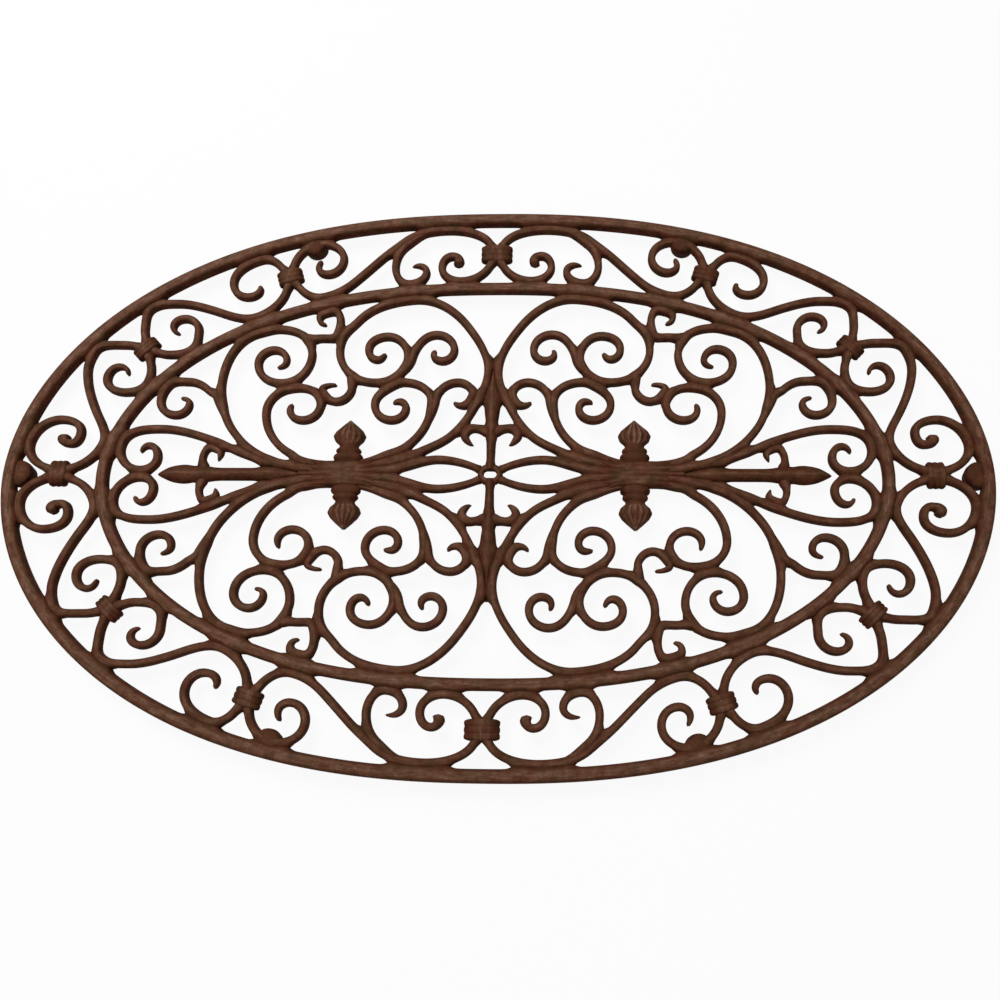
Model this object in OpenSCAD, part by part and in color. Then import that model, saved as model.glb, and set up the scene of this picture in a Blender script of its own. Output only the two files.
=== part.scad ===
// Oval boot scraper mat of cast iron: two ovals, a border of S scrolls bound by collars,
// and a field of scrolls that spring from two hubs, on six low feet.
// Every scroll is drawn for one quarter of the mat and mirrored into the other three.

/* [Ovals] */
// Length over the outer ring
mat_l = 713; // [680:1:750]
// Width over the outer ring
mat_w = 424; // [405:1:445]
// Width of the outer ring's bar
outer_ring_w = 9; // [7.5:0.1:10.5]
// Height of the outer ring's bar
outer_ring_h = 9; // [7:0.1:12]
// Width of the border at an end, from the outer edge of one ring to that of the other
end_border = 69; // [64:0.5:74]
// Width of the border at the middle of a long side
side_border = 59.5; // [55:0.5:64]
// Width of the inner ring's bar
inner_ring_w = 8; // [6.5:0.1:9.5]
// Height of the inner ring's bar
inner_ring_h = 8; // [6:0.1:11]

/* [Scroll bars] */
// Width of a scroll bar
bar_w = 5.4; // [4.6:0.1:6.2]
// Height of a scroll bar
bar_h = 7; // [5:0.1:9]
// Draft of a bar: how far each side leans in from the underside to the top
bar_draft = 1.1; // [0.4:0.1:1.6]
// Widest part of a bulb at the end of a scroll
bulb_w = 9; // [7:0.1:10]

/* [Hubs, spears and finials] */
// Place of each hub's middle, in the steps along the field that every scroll is drawn in
hub_x = 104; // [98:0.5:110]
// Length of a hub
hub_l = 60; // [56:0.5:64]
// Width of a hub at its waist
hub_waist = 20; // [18:0.5:21]
// Height of a hub
hub_h = 8; // [6:0.1:11]
// Depth of the grooves between the strands at a hub's ends
hub_groove = 1.6; // [0.4:0.1:2.5]
// Rise of the band across a hub's waist
hub_band = 0.8; // [0.3:0.1:1.5]
// Width of a spear's shaft
spear_w = 9; // [7:0.1:10]
// Widest part of a spear's head
spear_head_w = 14; // [11:0.1:15]
// Length of a finial's moulded neck
finial_neck_l = 11; // [8:0.5:13]
// Length of a finial's head
finial_head_l = 19.5; // [15:0.5:21]
// Widest part of a finial's head
finial_w = 24; // [18:0.5:26]
// Height of a finial
finial_h = 9; // [6:0.1:11]
// Depth of the grooves between the ribs of a finial's head
finial_rib = 1.3; // [0.4:0.1:2]

/* [Collars] */
// Length along its bars of a collar in the middle of a long side
collar_long_l = 14; // [10:0.5:15]
// Length of a collar at a shoulder
collar_shoulder_l = 12; // [9:0.5:13]
// Length of a collar at a corner
collar_corner_l = 9.5; // [8:0.5:10]
// Length of a collar at an end
collar_end_l = 12.5; // [9:0.5:14]
// Thickness of a collar's wall
collar_wall = 1.8; // [1.2:0.1:3]
// Height of the beads round a collar
collar_bead = 0.7; // [0.3:0.1:1.2]
// Number of beads round a collar
collar_beads = 3; // [2:1:4]

/* [Feet] */
// Diameter of a foot where it meets the ring
foot_d = 21; // [16:0.5:26]
// Height of a foot
foot_h = 8; // [4:0.5:14]
// Narrowing of a foot towards the floor, on the radius
foot_taper = 1.5; // [0.5:0.1:3]

/* [Fit] */
// Gap left between two pieces that touch
fit = 0.2; // [0.1:0.05:0.4]

/* [Hidden] */
outer = [(mat_l - outer_ring_w) / 2, (mat_w - outer_ring_w) / 2];
inner = [(mat_l - inner_ring_w) / 2 - end_border, (mat_w - inner_ring_w) / 2 - side_border];
// The ovals are fuller than an ellipse along the sides and a little leaner at the ends
full_l = 2.35;
full_w = 1.9;
// Distance between the middles of two bars that touch
lap = bar_w + fit;
// Width factor of a bar at a root that grows out of another bar
root_w = 0.6;
// Largest distance between a bar's straight facets and its curve
sag = 0.48;
collar_l = [collar_long_l, collar_shoulder_l, collar_corner_l, collar_end_l];
// Chamfer on a collar's upper edges, and length of one of its beads
collar_round = 2;
bead_l = 2.4;
// Place of the feet beside the long sides, as an angle round the oval
foot_t = 69.4;
// A foot stands flush with the outer edge of the ring
foot_inset = (foot_d - outer_ring_w) / 2;
// Sections in a quarter of a ring
ring_steps = 20;
// Length of a hub on the side of the mat's middle
hub_back = 26;
quarters = [["ne", 0, 0], ["nw", 1, 0], ["sw", 1, 1], ["se", 0, 1]];

// Plane geometry: a node of a path is [x, y, heading, width factor]
function unit(a) = [cos(a), sin(a)];
function oval(r, t) = [r.x * pow(cos(t), 2 / full_l), r.y * pow(sin(t), 2 / full_w)];
function oval_heading(r, t) =
    atan2(full_w * pow(sin(t), 2 - 2 / full_w) / r.y, full_l * pow(cos(t), 2 - 2 / full_l) / r.x);
function xy(n) = [n.x, n.y];
// A node beside a ring: off is measured outwards, way is 1 anticlockwise and -1 clockwise
function touch(r, t, off, way, turn) =
    let (a = oval_heading(r, t), p = oval(r, t) + off * unit(a)) [p.x, p.y, a + 90 * way + turn];
function by_outer(t, way, turn = 0) = touch(outer, t, -(outer_ring_w + bar_w) / 2 - fit, way, turn);
function by_inner(t, way, turn = 0) = touch(inner, t, (inner_ring_w + bar_w) / 2 + fit, way, turn);
function in_field(t, way, turn = 0) = touch(inner, t, -(inner_ring_w + bar_w) / 2 - fit, way, turn);
// A node in the border: t is its place round the ovals, s its share of the way across
function bord(t, s, a, w = 1) =
    let (p = (1 - s) * oval(inner, t) + s * oval(outer, t)) [p.x, p.y, a, w];
// A node in the field, in steps that stretch with it: so many lie between the middle and the inner ring
field_steps = [283.5, 148.5];
function fld(x, y, a, w = 1) = [x * inner.x / field_steps.x, y * inner.y / field_steps.y, a, w];
hub_mid = fld(hub_x, 0, 0).x;
hub_in = hub_mid - hub_back;
hub_out = hub_in + hub_l;
// A node to the left of another by d, or to its right where d is negative
function beside(n, d, turn = 0, w = 1) =
    let (p = xy(n) + d * unit(n[2] + 90)) [p.x, p.y, n[2] + turn, w];

// A root that leaves another bar along its side: side is 1 on the left and -1 on the right
function root(n, side, turn) = beside(n, side * (bar_w * (1 + root_w) / 2 + fit), turn, root_w);
// A root that butts against the side of another bar, off the square by an angle
function butt(n, side, off) =
    beside(n, side * (bar_w / 2 + fit + bar_w / 2 * sin(abs(off))), 90 * side + off);

// A root that grows out of a hub's inner or outer end at a height y
function from_inner_end(y, a) = [hub_in - fit - bar_w / 2 * abs(sin(a)), y, a];
function from_outer_end(y, a) = [hub_out + fit + bar_w / 2 * abs(sin(a)), y, a];

// Collars stand in the border at [t, s] and head straight outwards
collar_at = [[90, 0.5], [63.6, 0.51], [35.5, 0.46], [0, 0.48]];
function collar_node(k) = bord(collar_at[k][0], collar_at[k][1], oval_heading(outer, collar_at[k][0]));
// The bar on one side of a collar: side is 1 anticlockwise, way is 1 outwards
function in_collar(k, side, way) = beside(collar_node(k), side * lap / 2, way > 0 ? 0 : 180);

// Places where two scrolls touch, given on the first of the pair
kiss_crown_curl = [10.5, fld(0, 57, 0).y, 114];
kiss_crown_lobe = fld(76.3, 73.9, 150);
kiss_crown_upper = fld(114.6, 108, -68);
kiss_crown_lower = fld(103.6, 75.6, -147);
kiss_crown_branch = fld(64.6, 91, 90);
kiss_lobe_curl = fld(45.4, 57, 84);
kiss_lobe_lower = fld(130.9, 61.2, -125);
kiss_side_lobe = fld(153.7, 71.4, -12);
kiss_side_curl = fld(202.6, 60, 80);
kiss_side_end = fld(168.8, 14, 28);
kiss_side_upper = fld(141.5, 105, -120);
kiss_end_hook = fld(203, 24.9, 19);
kiss_stem_tendril = bord(80.5, 0.74, -40);

// Border scrolls of one quarter, from the tip at one collar to the tip at the next
bulb = bulb_w / bar_w;
path_long = [bord(86.7, 0.336, 90, 0.6), bord(86.65, 0.407, 62, bulb), bord(85.8, 0.485, 0),
    bord(84.4, 0.33, -90), by_inner(86.5, 1), in_collar(0, -1, 1), by_outer(85.5, -1),
    kiss_stem_tendril, bord(76.9, 0.51, -45), bord(72, 0.23, -43), by_inner(66.5, -1),
    in_collar(1, 1, 1), by_outer(70.5, 1, 8), bord(72, 0.59, -90), bord(68.9, 0.43, 0),
    bord(68.2, 0.56, 90), bord(69.1, 0.65, 125, 0.5)];
path_shoulder = [bord(58.7, 0.545, -100, 0.5), bord(58.4, 0.475, -90), bord(55.8, 0.43, 0),
    bord(55.6, 0.7, 90), by_outer(61.5, 1), in_collar(1, -1, -1), by_inner(54.5, -1),
    bord(49.5, 0.46, 17), bord(46.2, 0.755, 0), by_outer(43, -1, -4), bord(39, 0.72, -92),
    in_collar(2, 1, -1), bord(37, 0.21, 180), by_inner(40.5, 1, -15), bord(44.5, 0.265, 90),
    bord(44.9, 0.52, 0), bord(42.2, 0.51, -90), bord(41.9, 0.39, 190, 0.5)];
path_end = [bord(28.4, 0.37, 100, 0.5), bord(29.5, 0.51, 0), bord(25.9, 0.52, -90), bord(24.4, 0.22, 180),
    by_inner(28, 1, -20), in_collar(2, -1, 1), bord(33.7, 0.71, 0), by_outer(30.5, -1, -15),
    bord(25.6, 0.765, -97), bord(17.5, 0.36, -118), by_inner(8.5, -1, 8), in_collar(3, 1, 1),
    by_outer(8.25, 1), bord(13.9, 0.67, 180), bord(11.4, 0.39, -90), bord(8.4, 0.44, 0),
    bord(9.2, 0.541, 65, bulb), bord(10.6, 0.57, 90, 0.6)];
path_tendril = [root(kiss_stem_tendril, -1, 0), bord(78.55, 0.39, -90), by_inner(79.75, 1),
    bord(82.4, 0.27, 90), bord(81.6, 0.38, 8), bord(80.7, 0.385, -10, 0.5)];

// The eye in the middle of the mat, and the leaf that grows from it to the crowns
eye_x = 2;
eye_r = 6;
eye_hole_x = 1.7;
eye_hole_r = 3;
spine_mid = 1.35;
spine_tip = 0.4;
// Crowns stand clear of the leaf's tip between them
crown_x = bar_w / 2 + fit + spine_tip * bar_w / 2;
// Angle round the eye at which a lens bar ends, and the rise of a hook where it leaves the leaf
lens_end = 35;
hook_rise = 20;
// Width factors of a spear's leaf where the hooks stand on it and at its widest
spear_neck = 1.2;
spear_leaf = spear_head_w / spear_w;

// Field scrolls of one quarter, from the root to the tip
path_crown = [from_inner_end(1.5 * lap, 172), fld(50, 17.6, 155), fld(28.8, 29.8, 137), kiss_crown_curl,
    [crown_x, fld(0, 80, 0).y, 90], fld(20.2, 117, 53), in_field(80.25, -1), fld(103.5, 122, -50),
    kiss_crown_upper, fld(116.5, 98, -90), kiss_crown_lower, fld(88, 71.2, 180), kiss_crown_lobe,
    kiss_crown_branch, fld(80.5, 108.7, 0), fld(94.5, 98, -90), fld(87.5, 89.8, 180),
    fld(82, 95.5, 100, 0.5)];
path_crown_curl = [root(kiss_crown_branch, 1, 14), fld(43.5, 110, 180), fld(29.8, 97.5, -90),
    fld(38.5, 88.6, 0), fld(45.3, 94, 90), fld(43.8, 98, 125, 0.5)];
path_axis_curl = [root(kiss_lobe_curl, 1, 15), fld(26, 71.2, 180),
    beside(kiss_crown_curl, -lap - fit / 2, 180), fld(23, 53, 0), fld(28.6, 56.4, 60, 0.5)];
path_inner_lobe = [from_inner_end(2.55 * lap, 158), fld(63.5, 19.8, 146), kiss_lobe_curl, fld(66, 71.3, 0),
    beside(kiss_crown_lobe, lap, 180), fld(87.1, 54, -90), fld(74, 41.5, 180), fld(63.8, 50.5, 90),
    fld(69, 56.2, 0), fld(74, 55, -35, 0.5)];
path_outer_lobe = [from_outer_end(1.9 * lap, 20), [hub_out + 9, fld(0, 15.7, 0).y, 28], fld(167.7, 48, 90),
    beside(kiss_side_lobe, -lap, 180), kiss_lobe_lower, fld(127.6, 53, -90), fld(140, 41.4, 0),
    fld(150.2, 50, 90), fld(149.2, 55, 100, 0.5)];
path_side = [from_outer_end(0.85 * lap, 12), kiss_side_end, fld(191.8, 33.8, 53), kiss_side_curl,
    fld(203.7, 70, 90), in_field(53.5, 1, 8), fld(163, 115, 183), kiss_side_upper, fld(137.3, 93, -90),
    kiss_side_lobe, fld(177.5, 87, 90), fld(166, 97.8, 180), fld(156.4, 89, -90), fld(163.5, 84.2, 8, 0.5)];
path_side_curl = [root(kiss_side_curl, -1, -14), fld(213.5, 65.6, 42), fld(228, 72, 2),
    in_field(31, -1, -5), fld(248.2, 57, -90), fld(235.5, 45.5, 180), fld(226.4, 54, 90),
    fld(234, 59.4, 5, 0.5)];
path_tail = [root(kiss_side_end, -1, -2), fld(184.5, 16.5, 22), kiss_end_hook,
    fld(245, 34.5, 0), in_field(11, -1), [fld(256, 0, 0).x, lap / 2, 180], fld(244.8, 12, 90),
    fld(252.5, 21.6, 0), fld(258.4, 16.5, -75, 0.5)];
path_tail_hook = [[fld(210.8, 0, 0).x, spear_neck * spear_w / 2 + fit, 90], fld(211.3, 12, 92),
    beside(kiss_end_hook, -lap, 180), fld(198.4, 12.5, -85, 0.5)];
path_upper_link = [butt(kiss_side_upper, -1, 30), fld(130, 107.4, 180),
    beside(kiss_crown_upper, lap, 180), in_field(67, -1), fld(134, 123.5, -90), fld(128.5, 119.2, 180, 0.5)];
path_lower_link = [butt(kiss_crown_lower, 1, -30), fld(105.7, 63.6, -68), fld(116, 56.1, 0),
    beside(kiss_lobe_lower, -lap, 180), fld(117, 69.8, 185, 0.5)];
path_lens = [from_inner_end(0.5 * lap, 178), [hub_in - 12, 4.4, 168], fld(38, 11, 180),
    [eye_x + (eye_r + fit) * cos(lens_end), (eye_r + fit) * sin(lens_end), 205, 0.8]];
path_spine_hook = [[spine_mid * bar_w / 2 + fit + bar_w / 2 * sin(hook_rise), fld(0, 33, 0).y, hook_rise],
    fld(12, 35, 0), fld(19, 29, -90), fld(15.5, 23.5, -135, 0.5)];
path_spine = [[0, eye_r + fit, 90], fld(0, 35.5, 90, spine_mid), fld(0, 48, 90, 2), fld(0, 57, 90, 2.2),
    fld(0, 70, 90, 0.9), fld(0, 80, 90, spine_tip), fld(0, 92, 90, 0.15)];
// A spear swells where it leaves the hub, as [distance from the hub, width factor]
spear_root = [[fit, 0.36], [12, 0.84], [22, 1.08], [32, 1]];
path_spear = concat([for (p = spear_root) [hub_out + p.x, 0, 0, p.y]],
    [fld(198, 0, 0), fld(207, 0, 0, spear_neck), fld(214.5, 0, 0, spear_neck), fld(222, 0, 0, spear_leaf),
        fld(228, 0, 0, 0.95 * spear_leaf), fld(234, 0, 0, 0.76 * spear_leaf),
        fld(239, 0, 0, 0.43 * spear_leaf), fld(244, 0, 0, 0.08)]);
// Widths of a finial from its foot to its tip, as [share of the neck or head, width factor, depth of the
// grooves as a share]: two turned rings and a pinch, then a ribbed bud
finial_foot = 0.84;
finial_neck = [[0, finial_foot, 0], [0.2, 0.9, 0], [0.38, finial_foot, 0], [0.48, 0.66, 0], [0.58, 0.76, 0],
    [0.74, 0.76, 0], [0.92, 0.56, 0]];
finial_head = [[0.05, 0.6, 0.3], [0.2, 0.88, 1], [0.4, 1, 1], [0.6, 0.82, 1], [0.82, 0.44, 0.6],
    [1, 0.08, 0]];
finial_y = hub_waist / 2 + fit;
finial_stops = concat([for (p = finial_neck) [p.x * finial_neck_l, p.y, p.z]],
    [for (p = finial_head) [finial_neck_l + p.x * finial_head_l, p.y, p.z]]);
// Across a finial: share of the half width, share of the height, and whether a groove runs there
finial_dome = [[1, 0.4, 0], [0.7, 0.85, 0], [0.38, 0.94, 1], [0, 1, 0], [-0.38, 0.94, 1], [-0.7, 0.85, 0],
    [-1, 0.4, 0]];

// Strands that run together in a hub, in laps from its middle, and half the hub's width in laps
strands_in = [2.5, 1.5, 0.5, -0.5, -1.5, -2.5];
strands_out = [1.9, 0.95, 0.25, -0.25, -0.95, -1.9];
hub_half_in = 3;
hub_half_out = 2.4;
// The band across a hub's waist is as long as a finial's foot and rises over a short step
band_reach = finial_foot * finial_w / 2;
band_step = 0.8;
// Half way from an end to the waist a hub has lost this share of its flare
hub_curve = 0.66;
waist_from = hub_mid - band_reach - band_step;
waist_to = hub_mid + band_reach + band_step;
hub_low = hub_h - hub_band;
hub_between = (bar_h + hub_low) / 2;
// Places along a hub, as [x, share of the flare, 0 for the inner strands and 1 for the outer, share of the
// grooves' depth, height]
hub_stops = [
    [hub_in, 1, 0, 1, bar_h],
    [(hub_in + waist_from) / 2, 1 - hub_curve, 0, 0.5, hub_between],
    [waist_from, 0, 0, 0.25, hub_low],
    [hub_mid - band_reach, 0, 0, 0.25, hub_h],
    [hub_mid + band_reach, 0, 1, 0.25, hub_h],
    [waist_to, 0, 1, 0.25, hub_low],
    [(hub_out + waist_to) / 2, 1 - hub_curve, 1, 0.5, hub_between],
    [hub_out, 1, 1, 1, bar_h]];

// Bars: a path becomes a row of sections, each [x, y, heading, width factor]
function wrap(a) = a - 360 * floor((a + 180) / 360);
function wide(n) = len(n) > 3 ? n[3] : 1;
function turned(p, q) =
    let (d = xy(q) - xy(p), a = atan2(d.y, d.x)) abs(wrap(p[2] - a)) + abs(wrap(q[2] - a));
// Between two nodes the bar follows a cubic whose end speeds make an even bend close to an arc
function along(p, q, m, u) =
    let (a = m * unit(p[2]), b = m * unit(q[2]), c = xy(q) - xy(p),
        s = xy(p) + (3 - 2 * u) * u * u * c + u * (1 - u) * ((1 - u) * a - u * b),
        v = 6 * u * (1 - u) * c + (1 - u) * (1 - 3 * u) * a - u * (2 - 3 * u) * b)
    [s.x, s.y, atan2(v.y, v.x), wide(p) + (wide(q) - wide(p)) * (3 - 2 * u) * u * u];
function between(p, q, u) = along(p, q, norm(xy(q) - xy(p)) / pow(cos(turned(p, q) / 4), 2), u);
function steps(p, q) = max(1, ceil(sqrt(norm(xy(q) - xy(p)) * turned(p, q) * PI / 180 / (8 * sag)) - 0.01));
function span(p, q) = let (n = steps(p, q)) [for (i = [0 : n - 1]) between(p, q, i / n)];
function ends(n) = [n.x, n.y, n[2], wide(n)];
function run(path) =
    concat([for (i = [1 : len(path) - 1]) each span(path[i - 1], path[i])], [ends(path[len(path) - 1])]);
// The same path in another quarter of the mat
function flip(path, q) =
    [for (n = path) let (a = q[1] == 1 ? 180 - n[2] : n[2])
        [q[1] == 1 ? -n.x : n.x, q[2] == 1 ? -n.y : n.y, q[2] == 1 ? -a : a, wide(n)]];
// A section set on its node: p is [to the left, up] from the middle of the underside
function stand(n, outline) =
    let (l = unit(n[2] + 90)) [for (p = outline) [n.x + p.x * l.x, n.y + p.x * l.y, foot_h + p.y]];
// Flat underside, sides that lean in by the draft and a flat top; a narrow tip is also lower
function section(n, w, h) =
    let (b = n[3] * w / 2, c = min(bar_draft, b / 2), t = h * min(1, 0.6 + 0.4 * n[3]))
    stand(n, [[-b, 0], [b, 0], [b - c, t], [c - b, t]]);
// A finial's section: a dome whose grooves lie between three ribs
function ribbed(n, w, groove) =
    let (b = w * finial_w / 2, t = finial_h * (0.5 + 0.5 * w))
    stand(n, concat([[-b, 0], [b, 0]],
        [for (d = finial_dome) [b * d.x, t * d.y - finial_rib * groove * d.z]]));
// A hub's section: a crest for each strand and a groove between each two
function stranded(n, share, strands, half, groove, t) =
    let (b = hub_waist / 2 + share * (half * lap - hub_waist / 2), k = b / half, edge = b - bar_draft / 2,
        low = t - groove / 2)
    stand(n, concat([[-b, 0], [b, 0], [edge, low], [k * strands[0], t]],
        [for (i = [1 : len(strands) - 1])
            each [[k * (strands[i - 1] + strands[i]) / 2, t - groove], [k * strands[i], t]]],
        [[-edge, low]]));
// Triangles that close an end of a skin: each crest first where it has some, then the rest
function end_faces(m, crests) = crests
    ? concat([for (j = [3 : 2 : m - 2]) [j - 1, j, j + 1]], [[1, 2, 4], [0, 1, 4]],
        [for (j = [4 : 2 : m - 3]) [0, j, j + 2]])
    : [for (j = [1 : m - 2]) [0, j, j + 1]];

// Rows of points, each a section's outline, joined into one skin
module skin(rows, closed = false, crests = false) {
    n = len(rows);
    m = len(rows[0]);
    points = [for (r = rows) each r];
    sides = [for (i = [0 : closed ? n - 1 : n - 2], j = [0 : m - 1])
        let (a = m * i, b = m * ((i + 1) % n), k = (j + 1) % m)
        each [[a + j, b + j, b + k], [a + j, b + k, a + k]]];
    last = m * (n - 1);
    caps = [for (f = end_faces(m, crests)) each [f, [last + f.x, last + f.z, last + f.y]]];
    polyhedron(points, closed ? sides : concat(sides, caps), convexity = 10);
}

module bar(path, q, w = bar_w, h = bar_h) {
    skin([for (n = run(flip(path, q))) section(n, w, h)]);
}

module ring(r, w, h) {
    east = [for (i = [0 : ring_steps - 1])
        let (t = 90 * i / ring_steps, p = oval(r, t)) [p.x, p.y, oval_heading(r, t)]];
    west = [for (i = [ring_steps - 1 : -1 : 1]) [-east[i].x, east[i].y, 180 - east[i][2]]];
    half = concat(east, [[0, r.y, 90]], west);
    skin([for (k = [1, -1], n = half) section([k * n.x, k * n.y, n[2] + 90 * (2 - k), 1], w, h)], true);
}

// Sub-parts
module outer_ring() {
    color("#4a2f24") ring(outer, outer_ring_w, outer_ring_h);
}

module inner_ring() {
    color("#4a2f24") ring(inner, inner_ring_w, inner_ring_h);
}

module border_long(q) {
    color("#5c3a2b") bar(path_long, q);
}

module border_shoulder(q) {
    color("#6a4433") bar(path_shoulder, q);
}

module border_end(q) {
    color("#5c3a2b") bar(path_end, q);
}

module crown(q) {
    color("#64402f") bar(path_crown, q);
}

module inner_lobe(q) {
    color("#533427") bar(path_inner_lobe, q);
}

module outer_lobe(q) {
    color("#533427") bar(path_outer_lobe, q);
}

module side(q) {
    color("#64402f") bar(path_side, q);
}

module tail(q) {
    color("#5c3a2b") bar(path_tail, q);
}

module finial(q) {
    color("#74503c")
    skin([for (p = finial_stops)
        let (n = flip([[hub_mid, finial_y + p.x, 90]], q)[0]) ribbed(n, p.y, p.z)]);
}

module tendrils() {
    color("#74503c") for (q = quarters) bar(path_tendril, q);
}

module crown_curls() {
    color("#74503c") for (q = quarters) bar(path_crown_curl, q);
}

module axis_curls() {
    color("#6a4433") for (q = quarters) bar(path_axis_curl, q);
}

module side_curls() {
    color("#74503c") for (q = quarters) bar(path_side_curl, q);
}

module tail_hooks() {
    color("#6a4433") for (q = quarters) bar(path_tail_hook, q);
}

module spine_hooks() {
    color("#74503c") for (q = quarters) bar(path_spine_hook, q);
}

module upper_links() {
    color("#6a4433") for (q = quarters) bar(path_upper_link, q);
}

module lower_links() {
    color("#6a4433") for (q = quarters) bar(path_lower_link, q);
}

module lens_bars() {
    color("#533427") for (q = quarters) bar(path_lens, q);
}

module hub(q) {
    color("#4a2f24")
    skin([for (p = hub_stops)
        let (n = flip([[p[0], 0, 0]], q)[0], out = p[2] == 1)
        stranded(n, p[1], out ? strands_out : strands_in, out ? hub_half_out : hub_half_in,
            p[3] * hub_groove, p[4])], crests = true);
}

module spear(q) {
    color("#6a4433") bar(path_spear, q, spear_w, bar_h);
}

module eye() {
    color("#4a2f24")
    translate([0, 0, foot_h])
    linear_extrude(bar_h)
    difference() {
        union() {
            for (x = [-eye_x, eye_x]) translate([x, 0]) circle(eye_r);
            square([2 * eye_x, 2 * eye_r], center = true);
        }
        for (x = [-eye_hole_x, eye_hole_x]) translate([x, 0]) circle(eye_hole_r);
        square([2 * eye_hole_x, 2 * eye_hole_r], center = true);
    }
}

module spine() {
    color("#533427") for (q = [quarters[0], quarters[3]]) bar(path_spine, q);
}

// Half the width of a collar's slot: room for the bend of a bar at the ends of the collar
function slot_by(k, path, i) =
    let (c = collar_node(k), o = unit(c[2]))
    fit + sag + max([for (j = [i - 1, i], u = [0 : 0.025 : 1], edge = [-bar_w / 2, bar_w / 2])
        let (n = between(path[j], path[j + 1], u), e = xy(n) + edge * unit(n[2] + 90) - xy(c))
        abs(e * o) <= collar_l[k] / 2 + sag ? abs(cross(o, e)) : 0]);
collar_slot = [slot_by(0, path_long, 5), max(slot_by(1, path_long, 11), slot_by(1, path_shoulder, 5)),
    max(slot_by(2, path_shoulder, 11), slot_by(2, path_end, 5)), slot_by(3, path_end, 11)];

// A collar is a saddle over two bars, with a bead at each end and between
module saddle(l, grow, slot) {
    w = 2 * slot;
    translate([-l / 2, 0, foot_h])
    rotate([90, 0, 90])
    linear_extrude(l)
    difference() {
        x = w / 2 + collar_wall + grow;
        y = bar_h + fit + collar_wall + grow;
        polygon([[-x, 0], [x, 0], [x, y - collar_round], [x - collar_round, y], [collar_round - x, y],
            [-x, y - collar_round]]);
        translate([-w / 2, -1]) square([w, bar_h + fit + 1]);
    }
}

module collar(k, q) {
    n = flip([collar_node(k)], q)[0];
    reach = (collar_l[k] - bead_l) / 2;
    translate([n.x, n.y, 0])
    rotate(n[2]) {
        saddle(collar_l[k], 0, collar_slot[k]);
        for (i = [0 : collar_beads - 1])
            translate([reach * (2 * i / (collar_beads - 1) - 1), 0, 0])
            saddle(bead_l, collar_bead, collar_slot[k]);
    }
}

module collars_long() {
    color("#4a2f24") for (q = [quarters[0], quarters[3]]) collar(0, q);
}

module collars_shoulder() {
    color("#4a2f24") for (q = quarters) collar(1, q);
}

module collars_corner() {
    color("#4a2f24") for (q = quarters) collar(2, q);
}

module collars_end() {
    color("#4a2f24") for (q = [quarters[0], quarters[1]]) collar(3, q);
}

module foot(t, q) {
    n = flip([touch(outer, t, -foot_inset, 1, 0)], q)[0];
    translate([n.x, n.y, 0]) cylinder(h = foot_h, r1 = foot_d / 2 - foot_taper, r2 = foot_d / 2);
}

module feet() {
    color("#3f2920") {
        for (q = quarters) foot(foot_t, q);
        for (q = [quarters[0], quarters[1]]) foot(0, q);
    }
}

// Every sub-part by name
named = [for (q = quarters) q[0]];
per_quarter = ["border_long", "border_shoulder", "border_end", "crown", "inner_lobe", "outer_lobe", "side",
    "tail", "finial"];
singles = ["outer_ring", "inner_ring", "tendrils", "crown_curls", "axis_curls", "side_curls", "tail_hooks",
    "spine_hooks", "upper_links", "lower_links", "lens_bars", "hub_e", "hub_w", "spear_e", "spear_w", "eye",
    "spine", "collars_long", "collars_shoulder", "collars_corner", "collars_end", "feet"];

outer_ring();
inner_ring();
for (q = quarters) {
    border_long(q);
    border_shoulder(q);
    border_end(q);
    crown(q);
    inner_lobe(q);
    outer_lobe(q);
    side(q);
    tail(q);
    finial(q);
}
tendrils();
crown_curls();
axis_curls();
side_curls();
tail_hooks();
spine_hooks();
upper_links();
lower_links();
lens_bars();
hub(quarters[0]);  // hub_e
hub(quarters[1]);  // hub_w
spear(quarters[0]);  // spear_e
spear(quarters[1]);  // spear_w
eye();
spine();
collars_long();
collars_shoulder();
collars_corner();
collars_end();
feet();
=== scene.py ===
# %% [markdown]
# # A cast iron boot scraper mat
# The mat is one sand casting: two oval rings, a border of S scrolls bound by collars, and a field of
# scrolls that spring from two hubs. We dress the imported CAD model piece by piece. Almost every piece is
# the same idea, a profile carried along a drawn line, so most of the lesson is about that one surface.

# %% The frame
import bpy
import numpy as np
from mathutils import Matrix, Vector


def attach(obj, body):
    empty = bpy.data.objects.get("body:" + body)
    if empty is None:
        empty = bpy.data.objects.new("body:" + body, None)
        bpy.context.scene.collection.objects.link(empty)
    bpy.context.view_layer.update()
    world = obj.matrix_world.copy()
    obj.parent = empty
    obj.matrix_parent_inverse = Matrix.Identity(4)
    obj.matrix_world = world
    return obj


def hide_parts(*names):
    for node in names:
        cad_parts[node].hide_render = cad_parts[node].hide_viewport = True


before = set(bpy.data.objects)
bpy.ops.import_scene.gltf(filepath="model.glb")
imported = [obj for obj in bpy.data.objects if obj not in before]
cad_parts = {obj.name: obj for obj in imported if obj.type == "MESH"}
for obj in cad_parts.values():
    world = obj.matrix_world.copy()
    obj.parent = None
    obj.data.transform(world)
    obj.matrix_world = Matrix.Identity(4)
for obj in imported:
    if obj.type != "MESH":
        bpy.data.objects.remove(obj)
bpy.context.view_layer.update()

# %% [markdown]
# ## Sizes and the two ovals
# We work in millimetres, as the pattern maker would, and turn to metres only when a mesh is made. The
# rings could be stretched circles, but the real ovals have fuller long sides and leaner ends. Two
# exponents in place of the 2 of an ellipse give that, and the direction straight out of the oval too.

# %% Sizes
MM = 0.001
# Half sizes of an oval's middle line, then the width and height of its bar
OUTER, OUTER_W, OUTER_H = np.array([352.0, 207.5]), 9.0, 9.0
INNER, INNER_W, INNER_H = np.array([283.5, 148.5]), 8.0, 8.0
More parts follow.
